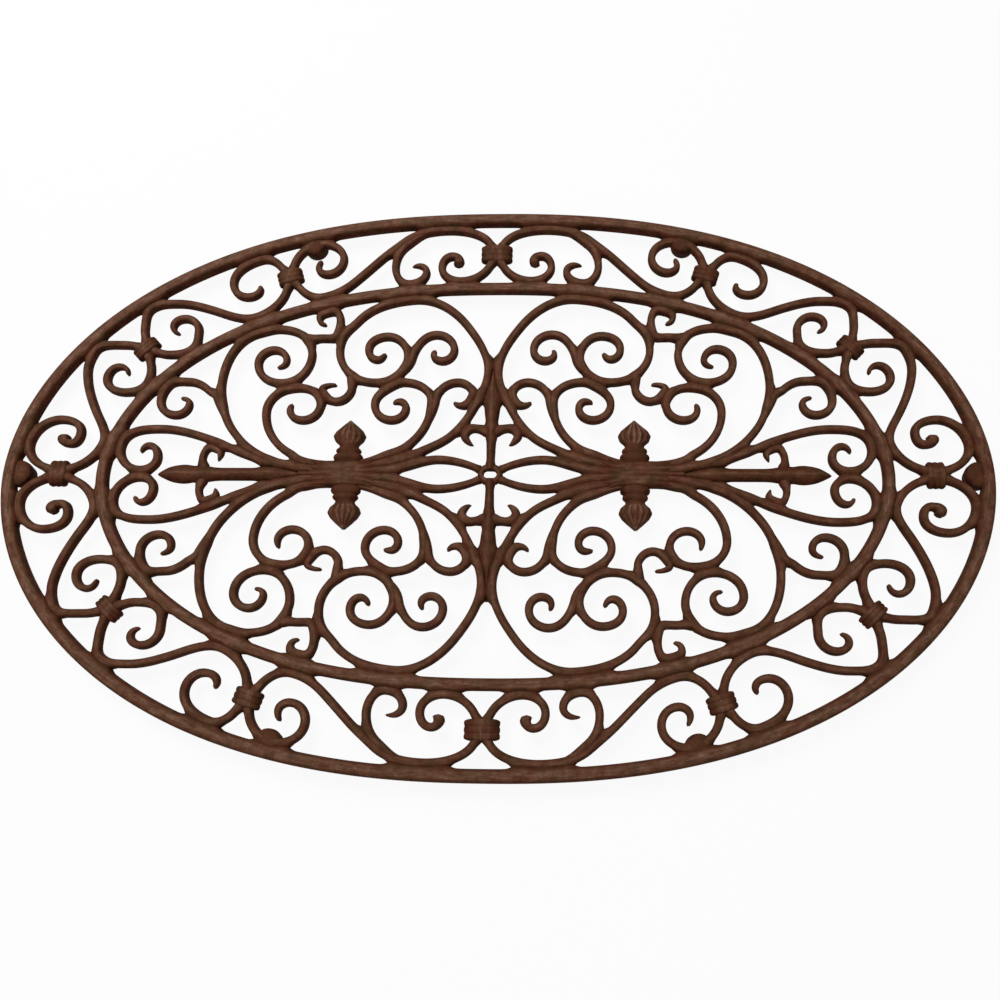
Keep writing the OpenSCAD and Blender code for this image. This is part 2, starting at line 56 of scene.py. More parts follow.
# Exponents of the ovals, along and across: an ellipse has 2
FULL_L, FULL_W = 2.35, 1.9
# A plain scroll bar, then the widths of a spear and of a ball end
BAR_W, BAR_H = 5.4, 7.0
SPEAR_W, BALL_W = 9.0, 9.0
# The height of the feet under the bars, and the fit between bars that touch
FOOT_H, FIT = 8.0, 0.2
LAP, BULB = BAR_W + FIT, BALL_W / BAR_W
print("outer oval", 2 * OUTER, "inner oval", 2 * INNER, "bar", BAR_W, "by", BAR_H)

# %% Ovals


def unit(a):
    """The direction at an angle in degrees: (cos a, sin a)."""
    return np.array([np.cos(np.radians(a)), np.sin(np.radians(a))])


def oval(r, t):
    """A point of an oval: each half size times the cosine or sine to the power 2 over its exponent."""
    c, s = np.maximum(unit(t), 0)
    return np.array([r[0] * c ** (2 / FULL_L), r[1] * s ** (2 / FULL_W)])


def oval_out(r, t):
    """The outward heading of an oval in degrees, from the slope of its implicit equation."""
    c, s = np.maximum(unit(t), 0)
    slope_x, slope_y = FULL_L * c ** (2 - 2 / FULL_L) / r[0], FULL_W * s ** (2 - 2 / FULL_W) / r[1]
    return np.degrees(np.arctan2(slope_y, slope_x))


print("the outer oval at 45 degrees heads out at", round(float(oval_out(OUTER, 45)), 1))

# %% [markdown]
# ## Drawing with nodes
# A scroll is a short list of nodes: a place, the heading of the bar there and its width compared with a
# plain bar. They stand where a draughtsman would set them: where a bar touches a ring, kisses another
# scroll or turns. Small helpers place a node against what it touches, so that neighbours stay in contact.

# %% Node helpers
# The width factor that marks a free end, whose taper is set when the lines are traced
FREE = 0.5


def spot(x, y, a, w=1.0):
    """One node: place, heading in degrees and width factor."""
    return np.array([x, y, a, w], float)


def touch(r, t, off, way, turn=0.0):
    """A node beside a ring: the ring's point moved outwards by off, heading a quarter turn from outwards."""
    a = oval_out(r, t)
    return spot(*(oval(r, t) + off * unit(a)), a + 90 * way + turn)


def by_outer(t, way, turn=0.0):
    """A border bar that touches the outer ring: both half widths and the fit away from its line."""
    return touch(OUTER, t, -(OUTER_W + BAR_W) / 2 - FIT, way, turn)


def by_inner(t, way, turn=0.0):
    """A border bar that touches the inner ring from outside."""
    return touch(INNER, t, (INNER_W + BAR_W) / 2 + FIT, way, turn)


def in_field(t, way, turn=0.0):
    """A field bar that touches the inner ring from inside."""
    return touch(INNER, t, -(INNER_W + BAR_W) / 2 - FIT, way, turn)


def border(t, s, a, w=1.0):
    """A node in the border: the share s of the way from the inner oval to the outer one."""
    return spot(*((1 - s) * oval(INNER, t) + s * oval(OUTER, t)), a, w)


def beside(n, d, turn=0.0, w=1.0):
    """A node moved to the left of another by d."""
    return spot(*(n[:2] + d * unit(n[2] + 90)), n[2] + turn, w)


def butt(n, side, off):
    """A root against the side of another bar, moved off it by the slant of its own cut."""
    return beside(n, side * (BAR_W / 2 + FIT + BAR_W / 2 * unit(abs(off))[1]), 90 * side + off)


print("a bar at the outer ring's end runs at x =", round(by_outer(0, 1)[0], 1))

# %% [markdown]
# A collar holds two bars side by side, and a hub gathers bars at both of its ends. Inside the hub they run
# on as strands, closer together and thinner, so that they melt into it and no cut end shows.

# %% Collar and hub nodes
# The angle of each collar and its share of the way across the border
COLLAR_AT = {"long": (90, 0.5), "shoulder": (63.6, 0.51), "corner": (35.5, 0.46), "end": (0, 0.48)}
HUB_IN, HUB_MID, HUB_OUT = 78.0, 104.0, 138.0
# For each side of a hub: its end, where its strands start, how far they draw in and their width there
HUB_SIDE = {-1: (HUB_IN, HUB_MID - 4, 0.6, 0.55), 1: (HUB_OUT, HUB_MID + 8, 0.74, 0.6)}


def collar_node(kind):
    """The middle of a collar, which heads straight out of the mat."""
    t, s = COLLAR_AT[kind]
    return border(t, s, oval_out(OUTER, t))


def in_collar(kind, side, way):
    """The bar on one side of a collar, heading outwards or inwards."""
    return beside(collar_node(kind), side * LAP / 2, 0 if way > 0 else 180)


def from_hub(way, y, a):
    """The first two nodes of a bar on the inner (-1) or outer (1) side of a hub: its strand in the waist,
    and its root at the hub's end, moved off it by the slant of its own cut."""
    end, start, draw_in, w = HUB_SIDE[way]
    slant = BAR_W / 2 * abs(unit(a)[1])
    return [spot(start, draw_in * y, 90 - 90 * way, w), spot(end + way * (FIT + slant), y, a)]


print("collars at", [np.round(collar_node(kind)[:2], 1).tolist() for kind in COLLAR_AT])

# %% [markdown]
# ## From nodes to a smooth line
# Blender could draw these as Bezier curves, but we need the same points twice: to make the surface and to
# measure how near the bars come to each other. So each span between two nodes is a cubic with an even
# bend, and the whole line is cut into equal steps of about a millimetre.

# %% Tracing


def span(start, end, n=48):
    """A cubic Hermite span: end speeds are the chord over the squared cosine of a quarter of the turn."""
    chord = end[:2] - start[:2]
    heading = np.degrees(np.arctan2(chord[1], chord[0]))
    turn = sum(abs((a - heading + 180) % 360 - 180) for a in (start[2], end[2]))
    speed = np.hypot(*chord) / np.cos(np.radians(turn / 4)) ** 2
    u = np.linspace(0, 1, n, endpoint=False)[:, None]
    bend = u * (1 - u) * ((1 - u) * speed * unit(start[2]) - u * speed * unit(end[2]))
    return np.hstack([start[:2] + (3 - 2 * u) * u * u * chord + bend, start[3] + (end[3] - start[3]) * u])


def way_along(points):
    """The way along a line of points up to each of them: the sum of the steps before it."""
    return np.r_[0, np.cumsum(np.linalg.norm(np.diff(points, axis=0), axis=1))]


def even(values, weights, **edge):
    """A moving mean: each value with its neighbours, weighted, and the ends continued as edge says."""
    return np.convolve(np.pad(values, len(weights) // 2, **edge), weights, "valid")


def trace(path, before=0.0, after=0.0, step=1.0):
    """Equal steps along a path: x, y and the width factor, which is evened out over seven steps; straight
    pieces of the given lengths lead in and out."""
    first, last = path[0], path[-1]
    rows = np.vstack([span(p, q) for p, q in zip(path, path[1:])] + [last[[0, 1, 3]]])
    if before:
        rows = np.vstack([np.r_[first[:2] - before * unit(first[2]), first[3]], rows])
    if after:
        rows = np.vstack([rows, np.r_[last[:2] + after * unit(last[2]), last[3]]])
    far = way_along(rows[:, :2])
    at = np.linspace(0, far[-1], int(np.ceil(far[-1] / step)) + 1)
    out = np.stack([np.interp(at, far, column) for column in rows.T], 1)
    out[:, 2] = even(out[:, 2], np.ones(7) / 7, mode="reflect", reflect_type="odd")
    return out


print("steps in a span of 30 mm:", len(trace([spot(0, 0, 0), spot(30, 0, 0)])))

# %% [markdown]
# ## The scrolls of one quarter
# The mat is the same in all four quarters, so each scroll is drawn once. The border has three S scrolls
# and a small tendril. A branch could start at the side of its parent, but a casting has no such seam, so
# it starts inside the parent and leaves it slowly. Places that two bars share are named first.

# %% Border scrolls
lines = {}


def route(place, *nodes):
    """A list of nodes, in which each plain tuple of numbers is placed by the given helper."""
    return [place(*n) if isinstance(n, tuple) else n for n in nodes]


# A branch starts so many steps before it leaves, at so much of a bar's width, and stands so far out
LEAVE_STEPS, LEAVE_W, LEAVE_OUT = 22, 0.85, 0.6 * BAR_W + FIT


def leave(parent, n, side, turn):
    """The first two nodes of a bar that leaves its parent at n: one lies some steps earlier on the parent's
    own line, and the next overlaps the parent's side."""
    line = trace(lines[parent])[:, :2]
    k = np.argmin(np.hypot(*(line - n[:2]).T)) - LEAVE_STEPS
    ahead = line[k + 1] - line[k]
    inside = spot(*line[k], np.degrees(np.arctan2(ahead[1], ahead[0])), LEAVE_W)
    return [inside, beside(n, side * LEAVE_OUT, turn)]


stem_tendril = border(80.5, 0.74, -40)
lines["border_long"] = route(
    border, (86.7, 0.336, 90, 0.6), (86.65, 0.407, 62, BULB), (85.8, 0.485, 0), (84.4, 0.33, -90),
    by_inner(86.5, 1), in_collar("long", -1, 1), by_outer(85.5, -1), stem_tendril, (76.9, 0.51, -45),
    (72, 0.23, -43), by_inner(66.5, -1), in_collar("shoulder", 1, 1), by_outer(70.5, 1, 8),
    (72, 0.59, -90), (68.9, 0.43, 0), (68.2, 0.56, 90), (69.1, 0.65, 125, FREE))
lines["border_shoulder"] = route(
    border, (58.7, 0.545, -100, FREE), (58.4, 0.475, -90), (55.8, 0.43, 0), (55.6, 0.7, 90),
    by_outer(61.5, 1), in_collar("shoulder", -1, -1), by_inner(54.5, -1), (49.5, 0.46, 17),
    (46.2, 0.755, 0), by_outer(43, -1, -4), (39, 0.72, -92), in_collar("corner", 1, -1), (37, 0.21, 180),
    by_inner(40.5, 1, -15), (44.5, 0.265, 90), (44.9, 0.52, 0), (42.2, 0.51, -90),
    (41.9, 0.39, 190, FREE))
lines["border_end"] = route(
    border, (28.4, 0.37, 100, FREE), (29.5, 0.51, 0), (25.9, 0.52, -90), (24.4, 0.22, 180),
    by_inner(28, 1, -20), in_collar("corner", -1, 1), (33.7, 0.71, 0), by_outer(30.5, -1, -15),
    (25.6, 0.765, -97), (17.5, 0.36, -118), by_inner(8.5, -1, 8), in_collar("end", 1, 1),
    by_outer(8.25, 1), (13.9, 0.67, 180), (11.4, 0.39, -90), (8.4, 0.44, 0), (9.2, 0.541, 65, BULB),
    (10.6, 0.57, 90, 0.6))
lines["tendrils"] = route(
    border, *leave("border_long", stem_tendril, -1, 0), (78.55, 0.39, -90), by_inner(79.75, 1),
    (82.4, 0.27, 90), (81.6, 0.38, 8), (80.7, 0.385, -10, FREE))
print("nodes of the border scrolls:", {kind: len(path) for kind, path in lines.items()})

# %% [markdown]
# In the field the crown and the inner lobe spring from the inner side of a hub, and a curl grows out of
# each. All of their nodes could be typed, but only the free turns are: a helper places what touches.

# %% Field scrolls of the inner side
# Width factor of the spine, on the short axis, at its pinch between the two crowns, and where that is
SPINE_TIP, PINCH_Y = 0.4, 80.0
crown_curl, crown_lobe, lobe_curl = spot(10.5, 57, 114), spot(76.3, 73.9, 150), spot(45.4, 57, 84)
crown_upper, crown_lower = spot(114.6, 108, -68), spot(103.6, 75.6, -147)
crown_branch = spot(64.6, 91, 90)
lines["crown"] = route(
    spot, *from_hub(-1, 1.5 * LAP, 172), (50, 17.6, 155), (28.8, 29.8, 137), crown_curl,
    (BAR_W / 2 + FIT + SPINE_TIP * BAR_W / 2, PINCH_Y, 90), (20.2, 117, 53), in_field(80.25, -1),
    (103.5, 122, -50), crown_upper, (116.5, 98, -90), crown_lower, (88, 71.2, 180), crown_lobe,
    crown_branch, (80.5, 108.7, 0), (94.5, 98, -90), (87.5, 89.8, 180), (82, 95.5, 100, FREE))
lines["crown_curls"] = route(
    spot, *leave("crown", crown_branch, 1, 14), (43.5, 110, 180), (29.8, 97.5, -90), (38.5, 88.6, 0),
    (45.3, 94, 90), (43.8, 98, 125, FREE))
lines["inner_lobe"] = route(
    spot, *from_hub(-1, 2.55 * LAP, 158), (63.5, 19.8, 146), lobe_curl, (66, 71.3, 0),
    beside(crown_lobe, LAP, 180), (87.1, 54, -90), (74, 41.5, 180), (63.8, 50.5, 90), (69, 56.2, 0),
    (74, 55, -35, FREE))
lines["axis_curls"] = route(
    spot, *leave("inner_lobe", lobe_curl, 1, 15), (26, 71.2, 180),
    beside(crown_curl, -LAP - FIT / 2, 180), (23, 53, 0), (28.6, 56.4, 60, FREE))
print("lines drawn:", len(lines))

# %% [markdown]
# The outer lobe and the side scroll spring from the outer side. The side scroll sends out a curl and the
# tail, and a hook ties the tail to the spear on the long axis.

# %% Field scrolls of the outer side
SPEAR_NECK = 1.2
lobe_lower, side_lobe, side_curl = spot(130.9, 61.2, -125), spot(153.7, 71.4, -12), spot(202.6, 60, 80)
side_end, side_upper, end_hook = spot(168.8, 14, 28), spot(141.5, 105, -120), spot(203, 24.9, 19)
lines["outer_lobe"] = route(
    spot, *from_hub(1, 1.9 * LAP, 20), (147, 15.7, 28), (167.7, 48, 90), beside(side_lobe, -LAP, 180),
    lobe_lower, (127.6, 53, -90), (140, 41.4, 0), (150.2, 50, 90), (149.2, 55, 100, FREE))
lines["side"] = route(
    spot, *from_hub(1, 0.85 * LAP, 12), side_end, (191.8, 33.8, 53), side_curl, (203.7, 70, 90),
    in_field(53.5, 1, 8), (163, 115, 183), side_upper, (137.3, 93, -90), side_lobe, (177.5, 87, 90),
    (166, 97.8, 180), (156.4, 89, -90), (163.5, 84.2, 8, FREE))
lines["side_curls"] = route(
    spot, *leave("side", side_curl, -1, -14), (213.5, 65.6, 42), (228, 72, 2), in_field(31, -1, -5),
    (248.2, 57, -90), (235.5, 45.5, 180), (226.4, 54, 90), (234, 59.4, 5, FREE))
lines["tail"] = route(
    spot, *leave("side", side_end, -1, -2), (184.5, 16.5, 22), end_hook, (245, 34.5, 0), in_field(11, -1),
    (256, LAP / 2, 180), (244.8, 12, 90), (252.5, 21.6, 0), (258.4, 16.5, -75, FREE))
lines["tail_hooks"] = route(
    spot, (209.8, SPEAR_NECK * SPEAR_W / 2 + FIT, 82, 0.9), (211.3, 12, 92, 0.82),
    beside(end_hook, -LAP, 180, 0.82), (198.8, 14.5, -85, 0.7), (200.4, 10.2, -60, 0.12))
print("lines drawn:", len(lines))

# %% [markdown]
# Short links join the large scrolls, and lens bars run from the eye to the hubs. The spear on the long axis
# and the spine on the short one, which swells to a leaf, are straight, so their widths alone draw them.

# %% Links and axis pieces
# The eye's half length and radius, then width factors of the spine at its hooks and of the spear's head
EYE_X, EYE_R, SPINE_MID, LEAF = 2.0, 6.0, 1.35, 14.0 / SPEAR_W
lines["upper_links"] = route(
    spot, butt(side_upper, -1, 30), (130, 107.4, 180), beside(crown_upper, LAP, 180), in_field(67, -1),
    (134, 123.5, -90), (128.5, 119.2, 180, FREE))
lines["lower_links"] = route(
    spot, butt(crown_lower, 1, -30), (105.7, 63.6, -68), (116, 56.1, 0), beside(lobe_lower, -LAP, 180),
    (117, 69.8, 185, FREE))
lines["lens_bars"] = route(
    spot, *from_hub(-1, 0.5 * LAP, 178), (66, 4.4, 168), (38, 11, 180),
    spot(*(np.array([EYE_X, 0]) + (EYE_R + FIT) * unit(35)), 205, 0.8))
lines["spine_hooks"] = route(
    spot, (SPINE_MID * BAR_W / 2 + FIT + BAR_W / 2 * unit(20)[1], 33, 20), (12, 35, 0), (19, 29, -90),
    (16.4, 24.6, -135, 0.75), (12.8, 22.6, -170, 0.1))
lines["spine"] = [spot(0, y, 90, w) for y, w in (
    (EYE_R + FIT, 1), (35.5, SPINE_MID), (48, 2), (57, 2.2), (70, 0.9), (PINCH_Y, SPINE_TIP), (92, 0.15))]
lines["spear"] = [spot(x, 0, 0, w) for x, w in (
    (HUB_OUT + FIT, 0.36), (HUB_OUT + 12, 0.84), (HUB_OUT + 22, 1.08), (HUB_OUT + 32, 1), (198, 1),
    (207, SPEAR_NECK), (214.5, SPEAR_NECK), (222, LEAF), (228, 0.95 * LEAF), (234, 0.76 * LEAF),
    (239, 0.43 * LEAF), (244, 0.08))]
print("lines drawn:", len(lines))

# %% [markdown]
# Now every line is traced. A casting's free ends thin out over their last turn, and a root that stands
# against another piece runs on into it, so that no cut end shows.

# %% Trace the lines
# Width factors of a free end and of the node before it
PLAIN_TAPER, TAPER = (0.36, 0.86), {"tendrils": (0.16, 0.66), "crown": (0.52, 0.95)}
# Straight lengths before the start and after the end
LEADS = {"spear": (14, 0), "lens_bars": (0, 1.2), "tail_hooks": (4, 0), "upper_links": (3.5, 0),
         "lower_links": (3.5, 0), "spine_hooks": (3.5, 0), "spine": (2.5, 0)}
for kind, path in lines.items():
    for end, before in ((-1, -2), (0, 1)):
        if path[end][3] == FREE:
            path[end][3], path[before][3] = TAPER.get(kind, PLAIN_TAPER)
traced = {kind: trace(path, *LEADS.get(kind, (0, 0))) for kind, path in lines.items()}
print("millimetres of bar in one quarter:", sum(len(line) for line in traced.values()))

# %% [markdown]
# The rings and the eye are closed lines. A quarter of an oval is cut into equal steps and mirrored, so
# that the ring has the same fourfold symmetry as the scrolls.

# %% Closed lines
# Width and height of the eye's bar, and how far from the middle its two bends are centred
EYE_BAR, EYE_H, EYE_BEND = 3.0, 5.5, 1.85


def oval_line(r, step=1.2):
    """A whole oval in equal steps, from one finely cut quarter and its three mirror images."""
    quarter = oval(r, 90 * (1 - np.cos(np.linspace(0, np.pi, 1200))) / 2).T
    far = way_along(quarter)
    at = np.linspace(0, far[-1], int(far[-1] / step))
    q = np.stack([np.interp(at, far, column) for column in quarter.T], 1)
    half = np.vstack([q, (q * [-1, 1])[-2:0:-1]])
    return np.hstack([np.vstack([half, -half]), np.ones((2 * len(half), 1))])


def stadium_line(x, r, n=24):
    """A long hole's outline: two half circles of radius r about the points (x, 0) and (-x, 0)."""
    c, s = unit(np.linspace(-90, 90, n))
    half = np.stack([x + r * c, r * s], 1)
    return np.hstack([np.vstack([half, -half]), np.ones((2 * n, 1))])


loops = {"outer_ring": oval_line(OUTER), "inner_ring": oval_line(INNER),
         "eye": stadium_line(EYE_BEND, EYE_R - EYE_BAR / 2)}
WIDTH = {"outer_ring": OUTER_W, "inner_ring": INNER_W, "eye": EYE_BAR, "spear": SPEAR_W}
HEIGHT = {"outer_ring": OUTER_H, "inner_ring": INNER_H, "eye": EYE_H}
print("steps of the closed lines:", {kind: len(line) for kind, line in loops.items()})

# %% [markdown]
# ## Fillets where bars meet
# The mould's sand is pressed round two touching bars, so the metal fills the narrow angle between them. A
# Bevel modifier can't round the crack between two objects, so we find the fillet by arithmetic. First the
# bars of the whole mat become one cloud of measuring points.

# %% Measuring cloud
QUARTERS = {"ne": (1, 1), "nw": (-1, 1), "sw": (-1, -1), "se": (1, -1)}
# Bars on an axis have two copies and not four
ON_AXIS = {"spear": ("ne", "nw"), "spine": ("ne", "se")}
# Branches start inside a parent, and the steps of that start are left out of the cloud
ROOTED, HIDDEN_STEPS = ("tendrils", "crown_curls", "axis_curls", "side_curls", "tail"), 14
# Closed lines are numbered from 100, and a mirrored copy's steps from 1000, as it is not the bar itself
FIRST_LOOP, OTHER_COPY = 100, 1000


def measuring(kind, line, flip, number, far):
    """Rows of the cloud: place, half width, the number of the bar and the steps along it."""
    half = line[:, 2] * WIDTH.get(kind, BAR_W) / 2
    return np.column_stack([line[:, :2] * flip, half, np.full(len(line), number), far])


cloud = []
for i, (kind, line) in enumerate(traced.items()):
    skip = HIDDEN_STEPS if kind in ROOTED else 0
    for j, q in enumerate(ON_AXIS.get(kind, QUARTERS)):
        far = np.arange(len(line)) + OTHER_COPY * (j > 0)
        cloud.append(measuring(kind, line, QUARTERS[q], i, far)[skip:])
for i, (kind, line) in enumerate(loops.items()):
    cloud.append(measuring(kind, line, (1, 1), FIRST_LOOP + i, np.zeros(len(line))))
cloud = np.vstack(cloud)
print("cloud of", len(cloud), "measuring points")

# %% [markdown]
# Seen from above, a smooth minimum of the distances to two bars draws the rounded outline of the metal
# between them. Each bar's side is pushed out until it reaches that outline.

# %% Fillet measure
# The width of the smooth minimum, the offsets that are tried, and how deep another bar may be entered
BLEND, OFFSETS, ENTERED = 5.0, np.arange(0, 6.01, 0.5), -0.5
# Search margin, the steps of its own that a bar overlooks, the gap that stands for none, and rows at once
MARGIN, OWN_STEPS, FAR_GAP, ROWS = 9, 24, 99.0, 40
# Weights of the mean that evens a fillet along its bar
SOFTLY = [0.07, 0.13, 0.18, 0.24, 0.18, 0.13, 0.07]


def smooth_gaps(line, normal, half, number, steps, closed):
    """For each row and offset, the gap to the nearest other bar, and the smooth minimum of gap and offset:
    the smaller of them less a quarter of BLEND times the square of (1 - their difference / BLEND)."""
    e = line[:, None] + normal[:, None] * (half[:, None, None] + OFFSETS[None, :, None])
    low, high = e.min((0, 1)) - MARGIN, e.max((0, 1)) + MARGIN
    near = cloud[np.all((cloud[:, :2] > low) & (cloud[:, :2] < high), 1)]
    gap = np.hypot(*np.moveaxis(e[:, :, None] - near[None, None, :, :2], -1, 0)) - near[:, 2]
    close_by = np.abs(steps[:, None] - near[:, 4][None]) < OWN_STEPS
    own = (near[:, 3] == number)[None] & (closed | close_by)
    gap = np.where(own[:, None, :], FAR_GAP, gap).min(2)
    return gap, np.minimum(OFFSETS, gap) - BLEND / 4 * np.clip(1 - np.abs(OFFSETS - gap) / BLEND, 0, 1) ** 2


def fillet(line, normal, half, number, closed):
    """How far one side of a bar is pushed out: the first offset at which the smooth minimum is no longer
    inside, or at which the other bar has been entered, found between two offsets by a straight line."""
    out = np.zeros(len(line))
    for start in range(0, len(line), ROWS):
        s = slice(start, start + ROWS)
        steps = np.arange(len(line))[s]
        gap, soft = smooth_gaps(line[s], normal[s], half[s], number, steps, closed)
        stop = (soft >= 0) | (gap < ENTERED)
        first = np.where(stop.any(1), np.argmax(stop, 1), len(OFFSETS) - 1)
        before = np.maximum(first - 1, 0)
        k = np.arange(len(first))
        a, b = soft[k, before], soft[k, first]
        share = np.where((b > a) & (b > 0), np.clip(-a / np.maximum(b - a, 1e-6), 0, 1), 1.0)
        out[s] = OFFSETS[before] + share * (OFFSETS[first] - OFFSETS[before])
    return even(out, SOFTLY, mode="wrap" if closed else "edge")


print("fillets reach up to", OFFSETS[-1], "mm")

# %% [markdown]
# ## One surface for every bar
# A bar's profile is half-round: a flat underside, short upright sides and a domed top, as a pattern is cut
# to leave the sand cleanly. The spear and the spine have a soft ridge instead. A curve's bevel could carry
# it along the line, but it can't follow the fillets, so we do that ourselves.

# %% Profile
# Shares of the height where the dome starts and where the lower corners end, and of the width that is flat
SHOULDER, CORNER_H, FLAT = 0.45, 0.12, 0.88


def half_round(power, m=13):
    """The closed profile, over the top and back along the underside: cosine and sine of half a turn to a
    power, on upright sides with eased lower corners. A power below 1 gives a full dome, 2 a sharp gable."""
    a = np.linspace(0, np.pi, m)
    c, s = np.cos(a), np.clip(np.sin(a), 0, 1)
    top = np.stack([np.sign(c) * np.abs(c) ** power, SHOULDER + (1 - SHOULDER) * s ** power], 1)
    return np.vstack([top, [[-1, CORNER_H], [-FLAT, 0], [FLAT, 0], [1, CORNER_H]]])


PROFILE, RIDGED, RIDGES = half_round(0.62), half_round(1.3), ("spear", "spine")


def left_of(line, closed):
    """Unit vectors to the left of a line, from the central difference of its points."""
    d = np.roll(line, -1, 0) - np.roll(line, 1, 0) if closed else np.gradient(line, axis=0)
    d = d / np.hypot(*d.T)[:, None]
    return np.stack([-d[:, 1], d[:, 0]], 1)


print("profile points:", len(PROFILE))

# %% [markdown]
# A plain free end thins out and is rounded in plan and in height. Eight border tips end in a ball instead,
# on the inside of the turn, so that the bar's outer edge runs on round it. The small hooks start low on
# the piece that they grow from.

# %% Ends of bars
# The casting's skin, the least height of a thin bar, and the heights of a ball end's neck and ball
SKIN, THIN, NECK_H, BALL_H = 0.15, 0.35, 0.8, 1.12
# Which end has the ball, first (1) or last (-1), and how much of its lean the room in the turn allows
BALL_AT = {"border_long": (1, 1.0), "border_end": (-1, 0.25)}
# Hooks rise to their full height in so many steps, from this share of it
HOOKS, HOOK_STEPS, HOOK_ROOT = ("tail_hooks", "spine_hooks"), 9, 0.7
# Length of the fall in height at a free end, the share that stays, and how blunt it is in plan and height
NOSE, NOSE_H, BLUNT, BLUNT_NOSE = 4, 0.4, 0.2, 0.25


def round_end(n, r, blunt):
    """Scale of the first of n steps: the height of a circle of radius r that starts there, or blunt."""
    d = np.clip(np.arange(n) / max(r, 1e-6), 0, 1)
    return np.maximum(np.sqrt(1 - (1 - d) ** 2), blunt)


def ball_end(w, r):
    """Half widths of a bar that starts with a ball, and how far the ball leans into the turn. The half width
    is a neck's or the height of a circle of radius r, whichever is more; the lean is their difference."""
    s = np.arange(len(w))
    neck = np.where(s < 4 * r, np.minimum(w, 1), w) * BAR_W / 2
    circle = np.sqrt(np.clip(r ** 2 - (s - r) ** 2, 0, None))
    wide = np.maximum(circle, neck)
    lean = np.where(s < r, r, wide) - neck
    wide, lean = (even(v, np.ones(5) / 5, mode="edge") for v in (wide, lean))
    return np.where(s < 2, circle, wide), lean


def body(kind, p, left):
    """Line, half width and height of a bar before its free ends are rounded: the width factor times half
    the bar's width, and a height that falls with the width of thin bars."""
    line, half = p[:, :2], p[:, 2] * WIDTH.get(kind, BAR_W) / 2
    tall = HEIGHT.get(kind, BAR_H) * np.minimum(1, THIN + (1 - THIN) * p[:, 2])
    if kind in BALL_AT:
        way, room = BALL_AT[kind]
        half, lean = (v[::way] for v in ball_end(p[::way, 2], BALL_W / 2))
        tall = BAR_H * np.clip(half / (BAR_W / 2), NECK_H, BALL_H)
        line = line - way * room * lean[:, None] * left
    if kind in HOOKS:
        tall = tall * (HOOK_ROOT + (1 - HOOK_ROOT) * np.clip(np.arange(len(p)) / HOOK_STEPS, 0, 1))
    return line, half + SKIN, tall


def free_ends(kind, half):
    """Scales of width and height along an open bar, which fall in a circle at its last end. The border
    scrolls have two free ends."""
    n = len(half)
    tip, nose = round_end(n, half[-1], BLUNT)[::-1], round_end(n, NOSE, BLUNT_NOSE)[::-1]
    if kind.startswith("border"):
        tip, nose = tip * round_end(n, half[0], BLUNT), nose * round_end(n, NOSE, BLUNT_NOSE)
    return tip, NOSE_H + (1 - NOSE_H) * nose


print("a ball end in steps of 1 mm:", np.round(ball_end(np.ones(12), BALL_W / 2)[0], 1).tolist())

# %% [markdown]
# Now the sweep itself. The sides follow the fillets while the crest stays where it is. Two numbers are
# kept on every point for the finish: how high on the bar it lies, and how deep in a fillet.

# %% Sweep
# The spear's own edge stays crisp, and a branch gets its fillets over so many steps
SPEAR_FILLET, ROOT_STEPS = 0.4, 24
# The crest of a ridged bar has wear and painted highlight further down its slopes; a fillet of this size
# counts as deep
RIDGE_WEAR_AND_LIGHT, DEEP = 0.6, 2.5


def both_fillets(kind, line, left, half, number, closed):
    """The fillets of the left and the right side; there are none inside the eye."""
    push = np.stack([fillet(line, side * left, half, number, closed) for side in (1, -1)])
    if kind == "spear":
        push = push * SPEAR_FILLET
    if kind == "eye":
        push[0] = 0
    if kind in ROOTED:
        push = push * np.clip(np.arange(len(line)) / ROOT_STEPS, 0, 1) ** 2
    return push


def sweep(kind, p, number, closed=False):
    """Grid of points of one bar: line point plus left vector times (half width times profile x plus the
    fillet of that side), and height times profile z. Also each point's crest and fillet numbers."""
    left = left_of(p[:, :2], closed)
    line, half, tall = body(kind, p, left)
    push = both_fillets(kind, line, left, half, number, closed)
    if not closed:
        tip, nose = free_ends(kind, half)
        half, tall, push = half * tip, tall * nose, push * tip
    x, z = (RIDGED if kind in RIDGES else PROFILE).T
    stay = np.clip((z - SHOULDER) / (1 - SHOULDER), 0, 1)
    give = np.where(x > 0, push[0][:, None], push[1][:, None]) * (1 - stay ** 3) * np.sign(x)
    off = half[:, None] * x + give
    grid = np.empty((*off.shape, 3))
    grid[..., :2] = line[:, None] + left[:, None] * off[..., None]
    grid[..., 2] = FOOT_H + tall[:, None] * z
    high = stay ** (RIDGE_WEAR_AND_LIGHT if kind in RIDGES else 1)
    return grid, np.broadcast_to(high, off.shape), np.clip(np.abs(give) / DEEP, 0, 1)


hook = sweep("tail_hooks", traced["tail_hooks"], list(traced).index("tail_hooks"))
print("grid of a tail hook:", hook[0].shape)
